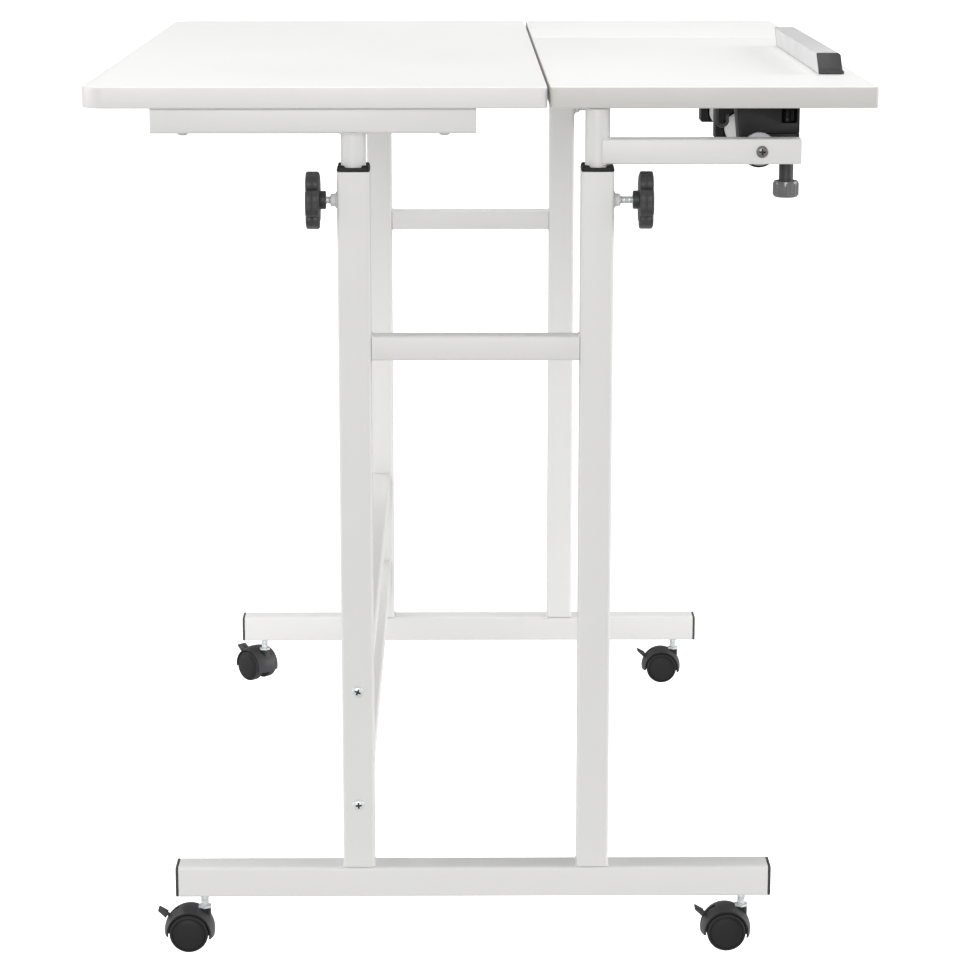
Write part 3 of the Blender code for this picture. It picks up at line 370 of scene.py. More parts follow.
wheelTread = makeFinish(
    "blackWheelTread", "tread", (0.020, 0.020, 0.021), (0.030, 0.029, 0.028), 110.0, (0.55, 0.72))
blackWire = makeFinish(
    "blackCoatedWire", "wire", (0.022, 0.022, 0.023), (0.030, 0.030, 0.031), 90.0, (0.28, 0.40))
satinSilver = makeFinish(
    "satinSilverLedge", "satin", (0.74, 0.74, 0.74), (0.71, 0.71, 0.715), 22.0, (0.32, 0.42), metal=0.35)
brightZinc = makeFinish(
    "brightZincPlate", "zinc", (0.66, 0.67, 0.68), (0.55, 0.56, 0.58), 240.0, (0.24, 0.40), metal=1.0)
paleZinc = makeFinish(
    "paleZincPlate", "zinc", (0.80, 0.82, 0.82), (0.70, 0.72, 0.73), 240.0, (0.34, 0.48), metal=0.45)
dullZinc = makeFinish(
    "dullZincPlate", "dull", (0.30, 0.285, 0.265), (0.16, 0.15, 0.14), 700.0, (0.30, 0.46), metal=0.7)
tubeEnd = makeFinish(
    "greyTubeEnd", "dull", (0.46, 0.45, 0.48), (0.42, 0.41, 0.44), 120.0, (0.40, 0.52))
# painted shade: a near-black finish put in the screw heads' cross recesses, where shade falls
recessShade = makeFinish(
    "paintedScrewRecessShade", "zinc", (0.06, 0.06, 0.062), (0.035, 0.035, 0.036), 300.0, (0.50, 0.60), metal=0.6)
print("finishes ready")


# geometry node trees for what repeats

def growTree(name, *inputs):
    return newTree(name, "GeometryNodeTree", (("Geometry", "Geometry", None), *inputs), (("Geometry", "Geometry"),))


def finishTree(tree, start, end, place, *marked):  # a coat over all, then one for each marked set of faces
    last = addNode(tree, "GeometryNodeRealizeInstances")
    wire(tree, (place, "Instances", last, "Geometry"))
    for label, mark in (("Finish", None), *marked):
        coat = addNode(tree, "GeometryNodeSetMaterial")
        wire(tree, (last, "Geometry", coat, "Geometry"), (start, label, coat, "Material"))
        last = coat
        if mark:
            chosen = addNode(tree, "GeometryNodeInputNamedAttribute", {"Name": mark}, data_type="BOOLEAN")
            wire(tree, (chosen, "Attribute", coat, "Selection"))
    wire(tree, (last, "Geometry", end, "Geometry"))
    return tree


def facingRotation(tree):
    facing = addNode(tree, "GeometryNodeInputNamedAttribute", {"Name": "facing"}, data_type="FLOAT_VECTOR")
    align = addNode(tree, "FunctionNodeAlignRotationToVector", axis="Z")
    wire(tree, (facing, "Attribute", align, "Vector"))
    return align


def placeOnSpots(tree, start, shape, output, rotation):
    points = addNode(tree, "GeometryNodeMeshToPoints")
    place = addNode(tree, "GeometryNodeInstanceOnPoints")
    wire(tree, (start, "Geometry", points, "Mesh"), (points, "Points", place, "Points"),
         (shape, output, place, "Instance"), (rotation, "Rotation", place, "Rotation"))
    return place


def makeFastenerTree():  # one head on each point, along its facing, each with its own part of a quarter turn
    tree, start, end = growTree(
        "fastenerHeads", ("Head", "Object", None), ("Size", "Float", 1.0), ("Seed", "Int", 3),
        ("Finish", "Material", None), ("Recess Shade Finish", "Material", None))
    head = addNode(tree, "GeometryNodeObjectInfo")
    align = facingRotation(tree)
    spin = addNode(tree, "FunctionNodeRandomValue", {"Max": math.pi / 2}, data_type="FLOAT")
    about = addNode(tree, "FunctionNodeAxisAngleToRotation", {"Axis": (0, 0, 1)})
    turn = addNode(tree, "FunctionNodeRotateRotation", rotation_space="LOCAL")
    place = placeOnSpots(tree, start, head, "Geometry", turn)
    wire(tree, (start, "Head", head, "Object"), (start, "Seed", spin, "Seed"), (spin, "Value", about, "Angle"),
         (align, "Rotation", turn, "Rotation"), (about, "Rotation", turn, "Rotate By"),
         (start, "Size", place, "Scale"))
    # faces marked as recess get the painted recess shade
    return finishTree(tree, start, end, place, ("Recess Shade Finish", "recess"))


def makeThreadTree():  # a coil on each point, along its facing
    tree, start, end = growTree(
        "threadCoils", ("Radius", "Float", 0.003), ("Length", "Float", 0.01), ("Pitch", "Float", 0.001),
        ("Ridge", "Float", 0.0004), ("Finish", "Material", None))
    turns = addNode(tree, "ShaderNodeMath", operation="DIVIDE")
    coil = addNode(tree, "GeometryNodeCurveSpiral", {"Resolution": 20})
    ridge = addNode(tree, "GeometryNodeCurvePrimitiveCircle", {"Resolution": 4})
    sweep = addNode(tree, "GeometryNodeCurveToMesh", {"Fill Caps": True})
    place = placeOnSpots(tree, start, sweep, "Mesh", facingRotation(tree))
    wire(tree, (start, "Length", turns, 0), (start, "Pitch", turns, 1), (turns, 0, coil, "Rotations"),
         (start, "Radius", coil, "Start Radius"), (start, "Radius", coil, "End Radius"),
         (start, "Length", coil, "Height"), (start, "Ridge", ridge, "Radius"),
         (coil, "Curve", sweep, "Curve"), (ridge, "Curve", sweep, "Profile Curve"))
    return finishTree(tree, start, end, place)


def makeWeldTree():  # ripples of weld along every edge that it is given
    tree, start, end = growTree(
        "weldRipples", ("Bead", "Float", 0.001), ("Spacing", "Float", 0.0009), ("Seed", "Int", 5),
        ("Finish", "Material", None))
    path = addNode(tree, "GeometryNodeMeshToCurve")
    step = addNode(tree, "GeometryNodeResampleCurve", mode="LENGTH")
    ball = addNode(tree, "GeometryNodeMeshUVSphere", {"Segments": 8, "Rings": 5})
    size = addNode(tree, "FunctionNodeRandomValue", {"Min": 0.85, "Max": 1.1}, data_type="FLOAT")
    place = addNode(tree, "GeometryNodeInstanceOnPoints")
    wire(tree, (start, "Geometry", path, "Mesh"), (path, "Curve", step, "Curve"), (start, "Spacing", step, "Length"),
         (step, "Curve", place, "Points"), (start, "Bead", ball, "Radius"), (ball, "Mesh", place, "Instance"),
         (start, "Seed", size, "Seed"), (size, "Value", place, "Scale"))
    return finishTree(tree, start, end, place)


def makeRibTree():  # upright ribs round a circle, for a grip
    tree, start, end = growTree(
        "gripRibs", ("Count", "Int", 24), ("Circle", "Float", 0.01), ("Rib", "Float", 0.0005),
        ("Height", "Float", 0.01), ("Finish", "Material", None))
    ring = addNode(tree, "GeometryNodeMeshCircle")
    rib = addNode(tree, "GeometryNodeMeshCylinder", {"Vertices": 8})
    around = addNode(tree, "GeometryNodeInstanceOnPoints")
    place = placeOnSpots(tree, start, around, "Instances", facingRotation(tree))
    wire(tree, (start, "Count", ring, "Vertices"), (start, "Circle", ring, "Radius"), (start, "Rib", rib, "Radius"),
         (start, "Height", rib, "Depth"), (ring, "Mesh", around, "Points"), (rib, "Mesh", around, "Instance"))
    return finishTree(tree, start, end, place)


def pointMesh(*spots):  # spots of (place, facing)
    mesh = bpy.data.meshes.new("spots")
    mesh.from_pydata([place for place, facing in spots], [], [])
    facing = mesh.attributes.new("facing", "FLOAT_VECTOR", "POINT")
    facing.data.foreach_set("vector", [value for place, way in spots for value in way])
    return mesh


def lineMesh(runs):  # runs of places, each an open line
    points, lines = [], []
    for run in runs:
        lines += [(len(points) + i, len(points) + i + 1) for i in range(len(run) - 1)]
        points += run
    mesh = bpy.data.meshes.new("runs")
    mesh.from_pydata(points, lines, [])
    return mesh


def grown(tree, mesh, values):
    body = scratch(mesh)
    step = body.modifiers.new("grow", "NODES")
    step.node_group = tree
    sockets = {item.name: item.identifier for item in tree.interface.items_tree
               if item.item_type == "SOCKET" and item.in_out == "INPUT"}
    for label, value in values.items():
        step[sockets[label]] = value
    made = evaluatedMesh(body)
    slots = list(made.materials)
    used = [finish for finish in slots if finish]  # realizing adds an empty slot in front
    painted = [used.index(slots[face.material_index]) for face in made.polygons]
    made.materials.clear()
    made.polygons.foreach_set("material_index", painted)
    return cleaned(made)


fastenerTree = makeFastenerTree()
threadTree = makeThreadTree()
weldTree = makeWeldTree()
ribTree = makeRibTree()
print("node trees ready")


# bolt threads: a coil on a core that is thinner by its ridge
threads = {"pitch": 0.001, "ridge": 0.0004}


def threadCoil(place, facing, core, length, finish):
    return grown(threadTree, pointMesh((place, facing)), {
        "Radius": core, "Length": length, "Pitch": threads["pitch"], "Ridge": threads["ridge"], "Finish": finish})


# cross-head pan screw, seat at the origin, head along +Z
panHead = {"width": 0.0092, "height": 0.0026, "rim": 0.35, "recess": 0.0058, "slot": 0.0016, "slotCorner": 0.0002,
           "slotTaper": 0.6, "depth": 0.0018}


def panHeadMesh():
    half, height, rim = panHead["width"] / 2, panHead["height"], panHead["rim"]
    dome = [(half * c, height * (rim + (1 - rim) * s)) for c, s in arcPoints(0, 0, 1, 0, 90, 8)]
    head = turnedMesh([(0, 0), (half * 0.97, 0), (half, height * 0.06)] + dome, "Z", 36)
    bars = []
    for width, length in ((panHead["slot"], panHead["recess"]), (panHead["recess"], panHead["slot"])):
        top = roundedLoop(width, length, panHead["slotCorner"], 2)
        foot = [(u * panHead["slotTaper"], v * panHead["slotTaper"]) for u, v in top]
        bars.append(stacked([(foot, height - panHead["depth"]), (top, height * 1.2)], "Z"))
    mesh = carved(head, *bars)
    # faces down in the cross recess, which are given painted shade
    mark = mesh.attributes.new("recess", "BOOLEAN", "FACE")
    for face in mesh.polygons:
        across = math.hypot(face.center.x, face.center.y)
        surface = height * (rim + (1 - rim) * math.sqrt(max(0.0, 1 - (across / half) ** 2)))
        sunk = 0.0004 < face.center.z < surface - 0.0002
        mark.data[face.index].value = across < panHead["recess"] * 0.55 and sunk
    return mesh


headObject = scratch(panHeadMesh())
headObject.name = "panHeadPattern"


def makeScrews(name, spots, size, seed, finish, body):
    # each head gets painted shade in its recess
    heads = grown(fastenerTree, pointMesh(*spots), {
        "Head": headObject, "Size": size, "Seed": seed, "Finish": finish, "Recess Shade Finish": recessShade})
    makePiece(name, heads, [finish, recessShade], body)


# foot beams with their end plugs
feet = {"corner": 0.0026, "wall": 0.0015, "stemHole": 0.0072, "stemInset": 0.0198, "holeReach": 0.004}
plugs = {"corner": 0.0026, "round": 0.0008, "pillow": 0.0004, "flange": 0.0024, "insertGap": 0.0019,
         "insertCorner": 0.0012, "insertRound": 0.0006, "crown": ((0.0032, 0.4), (0.0062, 0.0))}
for side in sides:
    foot = f"{side}_foot"
    low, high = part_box(foot)
    x = middleOf(low, high)[0]
    tube = hollowBar(low, high, "Y", feet["corner"], feet["wall"])
    holes = [rod(feet["stemHole"], low.z - feet["holeReach"], low.z + feet["holeReach"], "Z", x, y)
             for y in (low.y + feet["stemInset"], high.y - feet["stemInset"])]
    makePiece(f"{foot}_tube", carved(tube, *holes), [whiteCoat], "frame", [foot])
    for end, toward in ends.items():
        plug = f"{foot}_{end}_plug"
        low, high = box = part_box(plug)
        face, back = faceOf(box, "Y", toward), faceOf(box, "Y", -toward)
        seat = face - toward * plugs["flange"]
        rows = [(0.0, seat)]
        rows += [(gap, face - toward * (plugs["pillow"] + rise)) for rise, gap in roundRows(plugs["round"], 4)]
        rows += [(gap, face - toward * plugs["pillow"] * share) for gap, share in plugs["crown"]]
        flange = stacked([(barLoop(low, high, "Y", max(plugs["corner"] - gap, leastCorner), gap), at)
                          for gap, at in rows], "Y")
        inner = barLoop(low, high, "Y", plugs["insertCorner"], plugs["insertGap"])
        insert = softPrism(inner, min(back, seat), max(back, seat), plugs["insertRound"], "Y")
        makePiece(f"{foot}_{end}_cover", joined(flange, insert), [blackMould], "frame", [plug])
print("foot beams done")


# posts, each with the welded nut of its knob, and the guides in their tops
posts = {
    "corner": 0.0026, "wall": 0.0015, "nutHeight": 0.0053, "nutBelowTop": 0.0225,
    "bore": 0.0066, "boreReach": (-0.006, 0.012),
    "nutProfile": ((0, -0.0004), (0.0063, -0.0004), (0.0063, 0.0007), (0.0060, 0.0011), (0.0052, 0.0013),
                   (0.0049, 0.0018), (0.0048, 0.0038), (0.0046, 0.0046), (0.0041, 0.0051), (0.0034, 0.0053),
                   (0, 0.0053)),
}
guides = {"corner": 0.0024, "taper": 0.0007, "plate": 0.0027, "shoulder": 0.55, "pocket": 0.0135, "bore": 0.0196,
          "lift": 0.0003, "rim": 0.0004, "soft": 0.00022, "sleeveGap": 0.0018, "sleeveCorner": 0.0012}
for side in sides:
    for end, toward in ends.items():
        post, guide = f"{side}_{end}_post", f"{side}_{end}_guide"
        low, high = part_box(post)
        (high if toward > 0 else low).y -= toward * posts["nutHeight"]
        x, y, z = middleOf(low, high)
        nutZ = high.z - posts["nutBelowTop"]
        wallY = faceOf((low, high), "Y", toward)
        tube = hollowBar(low, high, "Z", posts["corner"], posts["wall"])
        nut = turnedMesh([(r, wallY + toward * along) for r, along in posts["nutProfile"]], "Y", 36, False, x, nutZ)
        span = sorted(wallY + toward * reach for reach in posts["boreReach"])
        drilled = [carved(part, rod(posts["bore"], *span, "Y", x, nutZ)) for part in (tube, nut)]
        makePiece(f"{post}_tube", joined(*drilled), [whiteCoat], "frame", [post])

        low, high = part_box(guide)
        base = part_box(post)[1].z + guides["lift"]
        loop = barLoop(low, high, "Z", guides["corner"])
        rows = [(guides["lift"], base), (0.0, base + guides["lift"])]
        rows += [(0.0, base + guides["plate"] * guides["shoulder"])]
        rows += [(guides["taper"], high.z - guides["rim"]), (guides["taper"] + guides["rim"], high.z)]
        flange = stacked([(insetLoop(loop, gap), at) for gap, at in rows], "Z")
        pocket = rod(2 * guides["pocket"], base + guides["plate"], high.z + overrun, "Z", x, y, 56)
        bore = rod(guides["bore"], base - overrun, high.z + overrun, "Z", x, y, 56)
        flange = softened(carved(flange, pocket, bore), guides["soft"], 2)
        outer, inner = barLoop(low, high, "Z", guides["sleeveCorner"], guides["sleeveGap"], 8), []
        for u, v in outer:
            across = math.hypot(u - x, v - y)
            inner.append((x + guides["bore"] / 2 * (u - x) / across, y + guides["bore"] / 2 * (v - y) / across))
        sleeve = stacked([(outer, low.z), (outer, base), (inner, base), (inner, low.z)], "Z", closed=True)
        makePiece(f"{guide}_bush", joined(flange, sleeve), [darkMouldAndShade], "frame", [guide])

# side rails and the two stretchers
rails = {"corner": 0.0022, "wall": 0.0012}
for name, axis in (("left_side_rail", "Y"), ("right_side_rail", "Y"), ("upper_stretcher", "X"),
                   ("lower_stretcher", "X")):
    mesh = hollowBar(*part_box(name), axis, rails["corner"], rails["wall"])
    makePiece(f"{name}_tube", mesh, [whiteCoat], "frame", [name])
print("posts, guides and rails done")


# star knobs, drawn about their own axis along Y from the post's face
knobs = {
    "lobes": 5, "width": 0.0444, "notch": 0.0045, "power": 4.0, "flute": 0.0005, "fluteShare": 0.34,
    "turn": {"front": 38.0, "rear": 39.0}, "thick": 0.0104, "round": 0.0016, "dish": 0.0009,
    "hub": 0.014, "hubLength": 0.0047, "hubRound": 0.0005, "hubFillet": 0.0006,
    "bolt": 0.0058, "boltTip": -0.0027, "boltInHub": 0.003, "standoff": {"front": 0.0094, "rear": 0.0034},
    "parting": 0.00018, "partingHalf": 0.00025,
}


def knobLoop(turned, steps=26):
    loop = []
    for lobe in range(knobs["lobes"]):
        for step in range(steps):
            across = math.sin(math.pi * (step / steps - 0.5))
            angle = math.radians(turned + 360 * (lobe + across / 2) / knobs["lobes"])
            reach = knobs["width"] / 2 - knobs["notch"] * abs(across) ** knobs["power"]
            dip = min(abs(across) / knobs["fluteShare"], 1)  # shallow thumb flute in the middle of a lobe
            reach -= knobs["flute"] * (1 + math.cos(math.pi * dip)) / 2
            loop.append((reach * math.cos(angle), reach * math.sin(angle)))
    return loop


def knobMesh(toward, standoff, turned):
    loop = knobLoop(turned)
    back = posts["nutHeight"] + standoff + knobs["hubLength"]
    foot, face = back - knobs["hubLength"], back + knobs["thick"]
    hub, soft, fillet, dished = knobs["hub"] / 2, knobs["hubRound"], knobs["hubFillet"], face - knobs["dish"]
    rims = roundRows(knobs["round"], 4)
    middle, half = (back + face) / 2, knobs["partingHalf"]

    def ring(radius, at):
        return [(radius * u / math.hypot(u, v), at, radius * v / math.hypot(u, v)) for u, v in loop]

    def lobed(gap, at):
        return [(u, at, v) for u, v in insetLoop(loop, gap)]

    rows = [ring(hub * 0.62, foot), ring(hub - soft, foot), ring(hub, foot + soft), ring(hub, back - fillet)]
    rows += [ring(hub + fillet, back), ring(hub + 0.0052, back)]
    rows += [lobed(gap, back + rise) for gap, rise in rims]
    rows += [lobed(0, middle - half), lobed(knobs["parting"], middle), lobed(0, middle + half)]  # parting line
    rows += [lobed(gap, face - rise) for gap, rise in reversed(rims)]
    rows += [ring(hub + 0.0056, face), ring(hub + 0.0048, dished), ring(hub - 0.0008, dished)]
    rows += [ring(hub - 0.0014, face - 0.0001), ring(hub * 0.2, face)]
    return skinMesh([[(x, toward * y, z) for x, y, z in row] for row in rows])


def knobBoltMesh(toward, standoff):
    tip, start = knobs["boltTip"], posts["nutHeight"] + standoff + knobs["boltInHub"]
    core = knobs["bolt"] / 2 - threads["ridge"]
    profile = [(0, tip), (core - 0.0004, tip), (core, tip + 0.0006), (core, start), (0, start)]
    shank = turnedMesh([(r, toward * w) for r, w in profile], "Y", 28)
    coil = threadCoil((0, toward * (tip + 0.0012), 0), (0, toward, 0), core, start - tip - 0.0016, paleZinc)
    return joined(shank, coil)


for end, toward in ends.items():
    star = knobMesh(toward, knobs["standoff"][end], knobs["turn"][end])
    bolt = knobBoltMesh(toward, knobs["standoff"][end])
    for side in sides:
        low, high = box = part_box(f"{side}_{end}_post")
        place = (middleOf(low, high)[0], faceOf(box, "Y", toward) - toward * posts["nutHeight"],
                 high.z - posts["nutBelowTop"])
        body = f"{side}_{end}_knob"
        makePiece(f"{body}_star", moved(star.copy(), *place), [blackMould], body, [body])
        makePiece(f"{body}_bolt", moved(bolt.copy(), *place), [paleZinc], body)
print("star knobs done")


# lift tubes
lifts = {"wall": 0.0012, "round": 0.0005}
for side in sides:
    for end in ends:
        name = f"{side}_{end}_lift"
        low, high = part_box(f"{name}_tube")
        r, edge, wall = (high.x - low.x) / 2, lifts["round"], lifts["wall"]
        profile = [(r - edge, low.z), (r, low.z + edge), (r, high.z - edge), (r - edge, high.z)]
        profile += [(r - wall, high.z), (r - wall, low.z)]
        mesh = turnedMesh(profile, "Z", 56, True, *middleOf(low, high)[:2])
        makePiece(f"{name}_pipe", mesh, [whiteCoat], f"{end}_carriage", [f"{name}_tube"])


# boards: melamine faces, a band round the edge
boards = {"round": 0.0012, "rearCorner": 0.018, "splitCorner": 0.006, "frontCorner": 0.003,
          "jointY": 0.126, "joint": 0.0003, "jointReach": 0.001, "bandTilt": 0.75}
outer, split, front = boards["rearCorner"], boards["splitCorner"], boards["frontCorner"]
for name, radii, body, band in (
    ("rear_board", [outer, outer, split, split], "rear_carriage", boardBand),
    ("tilt_board", [front, split, front, front], "tilt_top", warmBand),
    ("side_board", [split, front, front, front], "front_carriage", warmBand),
):
    low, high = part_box(name)
    loop = roundedLoop(high.x - low.x, high.y - low.y, radii, 12, *middleOf(low, high)[:2])
    mesh = softPrism(loop, low.z, high.z, boards["round"], "Z", 4)
    if name == "rear_board":  # where the two ends of its band meet
        y, gap, reach = boards["jointY"], boards["joint"] / 2, boards["jointReach"]
        mesh = carved(mesh, slab((low.x - reach, low.x + gap), (y - gap, y + gap), (low.z - reach, high.z + reach)))
    for face in mesh.polygons:
        face.material_index = int(abs(face.normal.z) < boards["bandTilt"])
    makePiece(f"{name}_panel", mesh, [boardFace, band], body, [name], 30)
print("boards done")


# support bars under the rear board
supports = {"corner": 0.0022, "round": 0.0006, "hole": 0.005, "screwFromEnd": 0.024, "screwSize": 0.85}
supportScrews = []
for side in sides:
    name = f"{side}_rear_support"
    low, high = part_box(name)
    x = middleOf(low, high)[0]
    bar = softPrism(barLoop(low, high, "Y", supports["corner"]), low.y, high.y, supports["round"], "Y")
    spots = (low.y + supports["screwFromEnd"], high.y - supports["screwFromEnd"])
    holes = [rod(supports["hole"], low.z - overrun, high.z + overrun, "Z", x, y, 24) for y in spots]
    makePiece(f"{name}_bar", carved(bar, *holes), [whiteCoat], "rear_carriage", [name])
    supportScrews += [((x, y, low.z), (0, 0, -1)) for y in spots]
makeScrews("support_screws", supportScrews, supports["screwSize"], 4, brightZinc, "rear_carriage")


# arms, cross tube and pivot bolts
arms = {"corner": 0.0014, "round": 0.0006, "cope": 0.0196, "boltHole": 0.0066}
pivots = {"head": 0.009, "headHeight": 0.003, "shank": 0.006}
crossTube = {"edge": 0.0008, "bore": 0.0033}
tubeLow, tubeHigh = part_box("tilt_tube")
pivotY, pivotZ = middleOf(tubeLow, tubeHigh)[1:]
for side, sign in sides.items():
    name = f"{side}_arm"
    low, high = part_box(name)
    x, y = middleOf(*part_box(f"{side}_front_lift_tube"))[:2]
    bar = softPrism(barLoop(low, high, "Y", arms["corner"]), low.y, high.y, arms["round"], "Y")
    cope = rod(arms["cope"], low.z - overrun, high.z + overrun, "Z", x, y, 56)
    drill = rod(arms["boltHole"], low.x - overrun, high.x + overrun, "X", pivotY, pivotZ)
    makePiece(f"{name}_bar", carved(bar, cope, drill), [whiteCoat], "front_carriage", [name])

    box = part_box(f"{side}_pivot_bolt")
    seat, far = faceOf(box, "X", sign) - sign * pivots["headHeight"], faceOf(box, "X", -sign)
    bolt = panHeadMesh()
    recess = bolt.attributes["recess"].data
    # the recess faces get painted shade
    paintFaces(bolt, 1, lambda face: recess[face.index].value)
    bolt.transform(Matrix.Scale(pivots["head"] / panHead["width"], 4))
    bolt.transform(Matrix.Rotation(sign * math.pi / 2, 4, "Y"))
    moved(bolt, seat, pivotY, pivotZ)
    shank = rod(pivots["shank"], min(seat, far), max(seat, far), "X", pivotY, pivotZ)
    makePiece(f"{side}_pivot_screw", joined(bolt, shank), [dullZinc, recessShade], "front_carriage",
              [f"{side}_pivot_bolt"])
r, edge, start = (tubeHigh.z - tubeLow.z) / 2, crossTube["edge"], tubeLow.x
profile = [(crossTube["bore"], start), (r - edge, start), (r - edge * 0.3, start + edge * 0.3), (r, start + edge)]
profile += [(radius, -along) for radius, along in reversed(profile)]
tube = turnedMesh(profile, "X", 64, True, pivotY, pivotZ)
# the end faces are painted a grey darker than the tube's coat
paintFaces(tube, 1, lambda face: abs(face.normal.x) > 0.5)
makePiece("cross_tube", tube, [whiteCoat, tubeEnd], "front_carriage", ["tilt_tube"])
print("arms and cross tube done")


# moulded saddles and pinch clamps on the cross tube
saddles = {"half": 0.0195, "below": 0.0091, "bore": 0.0256, "round": 0.0009, "corner": 0.0012}
clamps = {
    "half": 0.0175, "ring": 0.0144, "ringEnd": 356, "front": -0.0305, "jaw": -0.0052, "slit": (0.0113, 0.0119),
    "slitEnd": -0.003, "round": 0.0008, "soft": 0.0003, "rearCorner": 0.0012, "frontCorner": 0.001, "jawCorner": 0.0016,
    "screwY": -0.0225, "screwHole": 0.0066, "screwBelow": 0.0055,
    "windowDepth": 0.022, "windowWidth": 0.012, "windowHeight": 0.011, "windowBelow": 0.0025, "windowCorner": 0.0012,
}


def saddleMesh(low, high):
    top, half, below, corner = high.z - pivotZ, saddles["half"], saddles["below"], saddles["corner"]
    bore = saddles["bore"] / 2
    mouth = math.degrees(math.asin(below / bore))
    loop = arcPoints(half - corner, top - corner, corner, 0, 90, 3)
    loop += arcPoints(corner - half, top - corner, corner, 90, 180, 3)
    loop += arcPoints(corner - half, corner - below, corner, 180, 270, 4)
    loop += arcPoints(0, 0, bore, 180 + mouth, -mouth, 48)
    loop += arcPoints(half - corner, corner - below, corner, 270, 360, 4)
    return softPrism([(u + pivotY, v + pivotZ) for u, v in loop], low.x, high.x, saddles["round"], "X")


def clampMesh(low, high):
    top, half, ring = high.z - pivotZ, clamps["half"], clamps["ring"]
    front, jaw = clamps["front"], clamps["jaw"]
    rearR, frontR, jawR = clamps["rearCorner"], clamps["frontCorner"], clamps["jawCorner"]
    loop = arcPoints(half - rearR, top - rearR, rearR, 0, 90, 3)
    loop += arcPoints(front + frontR, top - frontR, frontR, 90, 180, 3)
    loop += arcPoints(front + jawR, jaw + jawR, jawR, 180, 270, 4)
    loop += arcPoints(0, 0, ring, 180 + math.degrees(math.asin(-jaw / ring)), clamps["ringEnd"], 26)
    block = softPrism([(u + pivotY, v + pivotZ) for u, v in loop], low.x, high.x, clamps["round"], "X")
    span = (low.x - overrun, high.x + overrun)
    bore = rod(saddles["bore"], *span, "X", pivotY, pivotZ, 64)
    slitLow, slitHigh = clamps["slit"]
    slit = slab(span, (pivotY + front * 1.2, pivotY + clamps["slitEnd"]), (pivotZ + slitLow, pivotZ + slitHigh))
    windowTop, screwY = top - clamps["windowBelow"], pivotY + clamps["screwY"]
    loop = roundedLoop(clamps["windowWidth"], clamps["windowHeight"], clamps["windowCorner"], 4, screwY,
                       pivotZ + windowTop - clamps["windowHeight"] / 2)
    window = plainPrism(loop, (low.x - overrun, low.x + clamps["windowDepth"]))
    hole = rod(clamps["screwHole"], low.z - 2 * overrun, pivotZ + windowTop - clamps["screwBelow"], "Z",
               middleOf(low, high)[0], screwY, 28)
    return softened(carved(block, bore, slit, window, hole), clamps["soft"], 2, 50)


for name, body, shape in (
    ("left_tilt_saddle", "tilt_top", saddleMesh), ("right_tilt_saddle", "tilt_top", saddleMesh),
    ("side_board_inner_saddle", "front_carriage", saddleMesh),
    ("side_board_outer_saddle", "front_carriage", saddleMesh),
    ("left_tilt_clamp", "tilt_top", clampMesh), ("right_tilt_clamp", "tilt_top", clampMesh),
):
    makePiece(f"{name}_block", shape(*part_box(name)), [darkMouldAndShade], body, [name])

# hand screws of the clamps
handScrews = {"shank": 0.006, "sleeve": 0.011, "sleeveLength": 0.0205, "knob": 0.020, "knobLength": 0.0125,
              "ribs": 18, "rib": 0.0009, "ribProud": 0.0005, "ribShort": 0.0034, "cupRim": 0.0009}
for side in sides:
    name = f"{side}_clamp_screw"
    low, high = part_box(name)
    x, y = middleOf(low, high)[:2]
    knobTop = low.z + handScrews["knobLength"]
    shoulder = knobTop + handScrews["sleeveLength"]
    sleeve, knob = handScrews["sleeve"] / 2, handScrews["knob"] / 2 - handScrews["ribProud"]
    profile = [(0, shoulder), (sleeve - 0.0004, shoulder), (sleeve, shoulder - 0.0004), (sleeve, knobTop)]
    profile += [(sleeve + 0.0006, knobTop - 0.0006), (knob - 0.0024, knobTop - 0.0006), (knob - 0.0018, knobTop)]
    profile += [(knob - 0.0008, knobTop), (knob - 0.0002, knobTop - 0.0003), (knob, knobTop - 0.0010)]
    profile += [(knob, low.z + 0.0016), (knob - 0.0005, low.z + 0.0005), (knob - 0.0016, low.z), (0.004, low.z),
                (0.0034, low.z + 0.0005), (0, low.z + 0.0006)]
    grip = turnedMesh(profile, "Z", 48, False, x, y)
    ribs = grown(ribTree, pointMesh(((x, y, (low.z + knobTop) / 2), (0, 0, 1))), {
        "Count": handScrews["ribs"], "Circle": knob + handScrews["ribProud"] - handScrews["rib"],
        "Rib": handScrews["rib"], "Height": handScrews["knobLength"] - handScrews["ribShort"], "Finish": greyGrip})
    within = knob - handScrews["cupRim"]
    paintFaces(grip, 1, lambda face: math.hypot(face.center.x - x, face.center.y - y) < within)
    makePiece(f"{name}_grip", joined(grip, ribs), [greyGrip, blackMould], name, [name])
    core, start = handScrews["shank"] / 2 - threads["ridge"], shoulder - 0.001
    profile = [(0, start), (core, start), (core, high.z - 0.0006), (core - 0.0005, high.z), (0, high.z)]
    shank = turnedMesh(profile, "Z", 28, False, x, y)
    coil = threadCoil((x, y, shoulder + 0.0004), (0, 0, 1), core, high.z - shoulder - 0.0014, blackWire)
    makePiece(f"{name}_thread", joined(shank, coil), [blackWire], name)
print("saddles and clamps done")


# ledge on the tilting board, its caps and the wire hook
ledge = {"height": 0.0165, "depth": 0.0221, "lean": 0.0022, "foot": 0.0014, "footHeight": 0.0034, "slope": 0.0014,
         "crown": 0.003, "bead": 0.0007, "round": 0.0002, "capRound": 0.0005, "capGap": 0.0003,
         "grooves": (0.0018, 0.0034), "groove": 0.0007, "screwFromEnd": 0.04, "screwSize": 0.8}


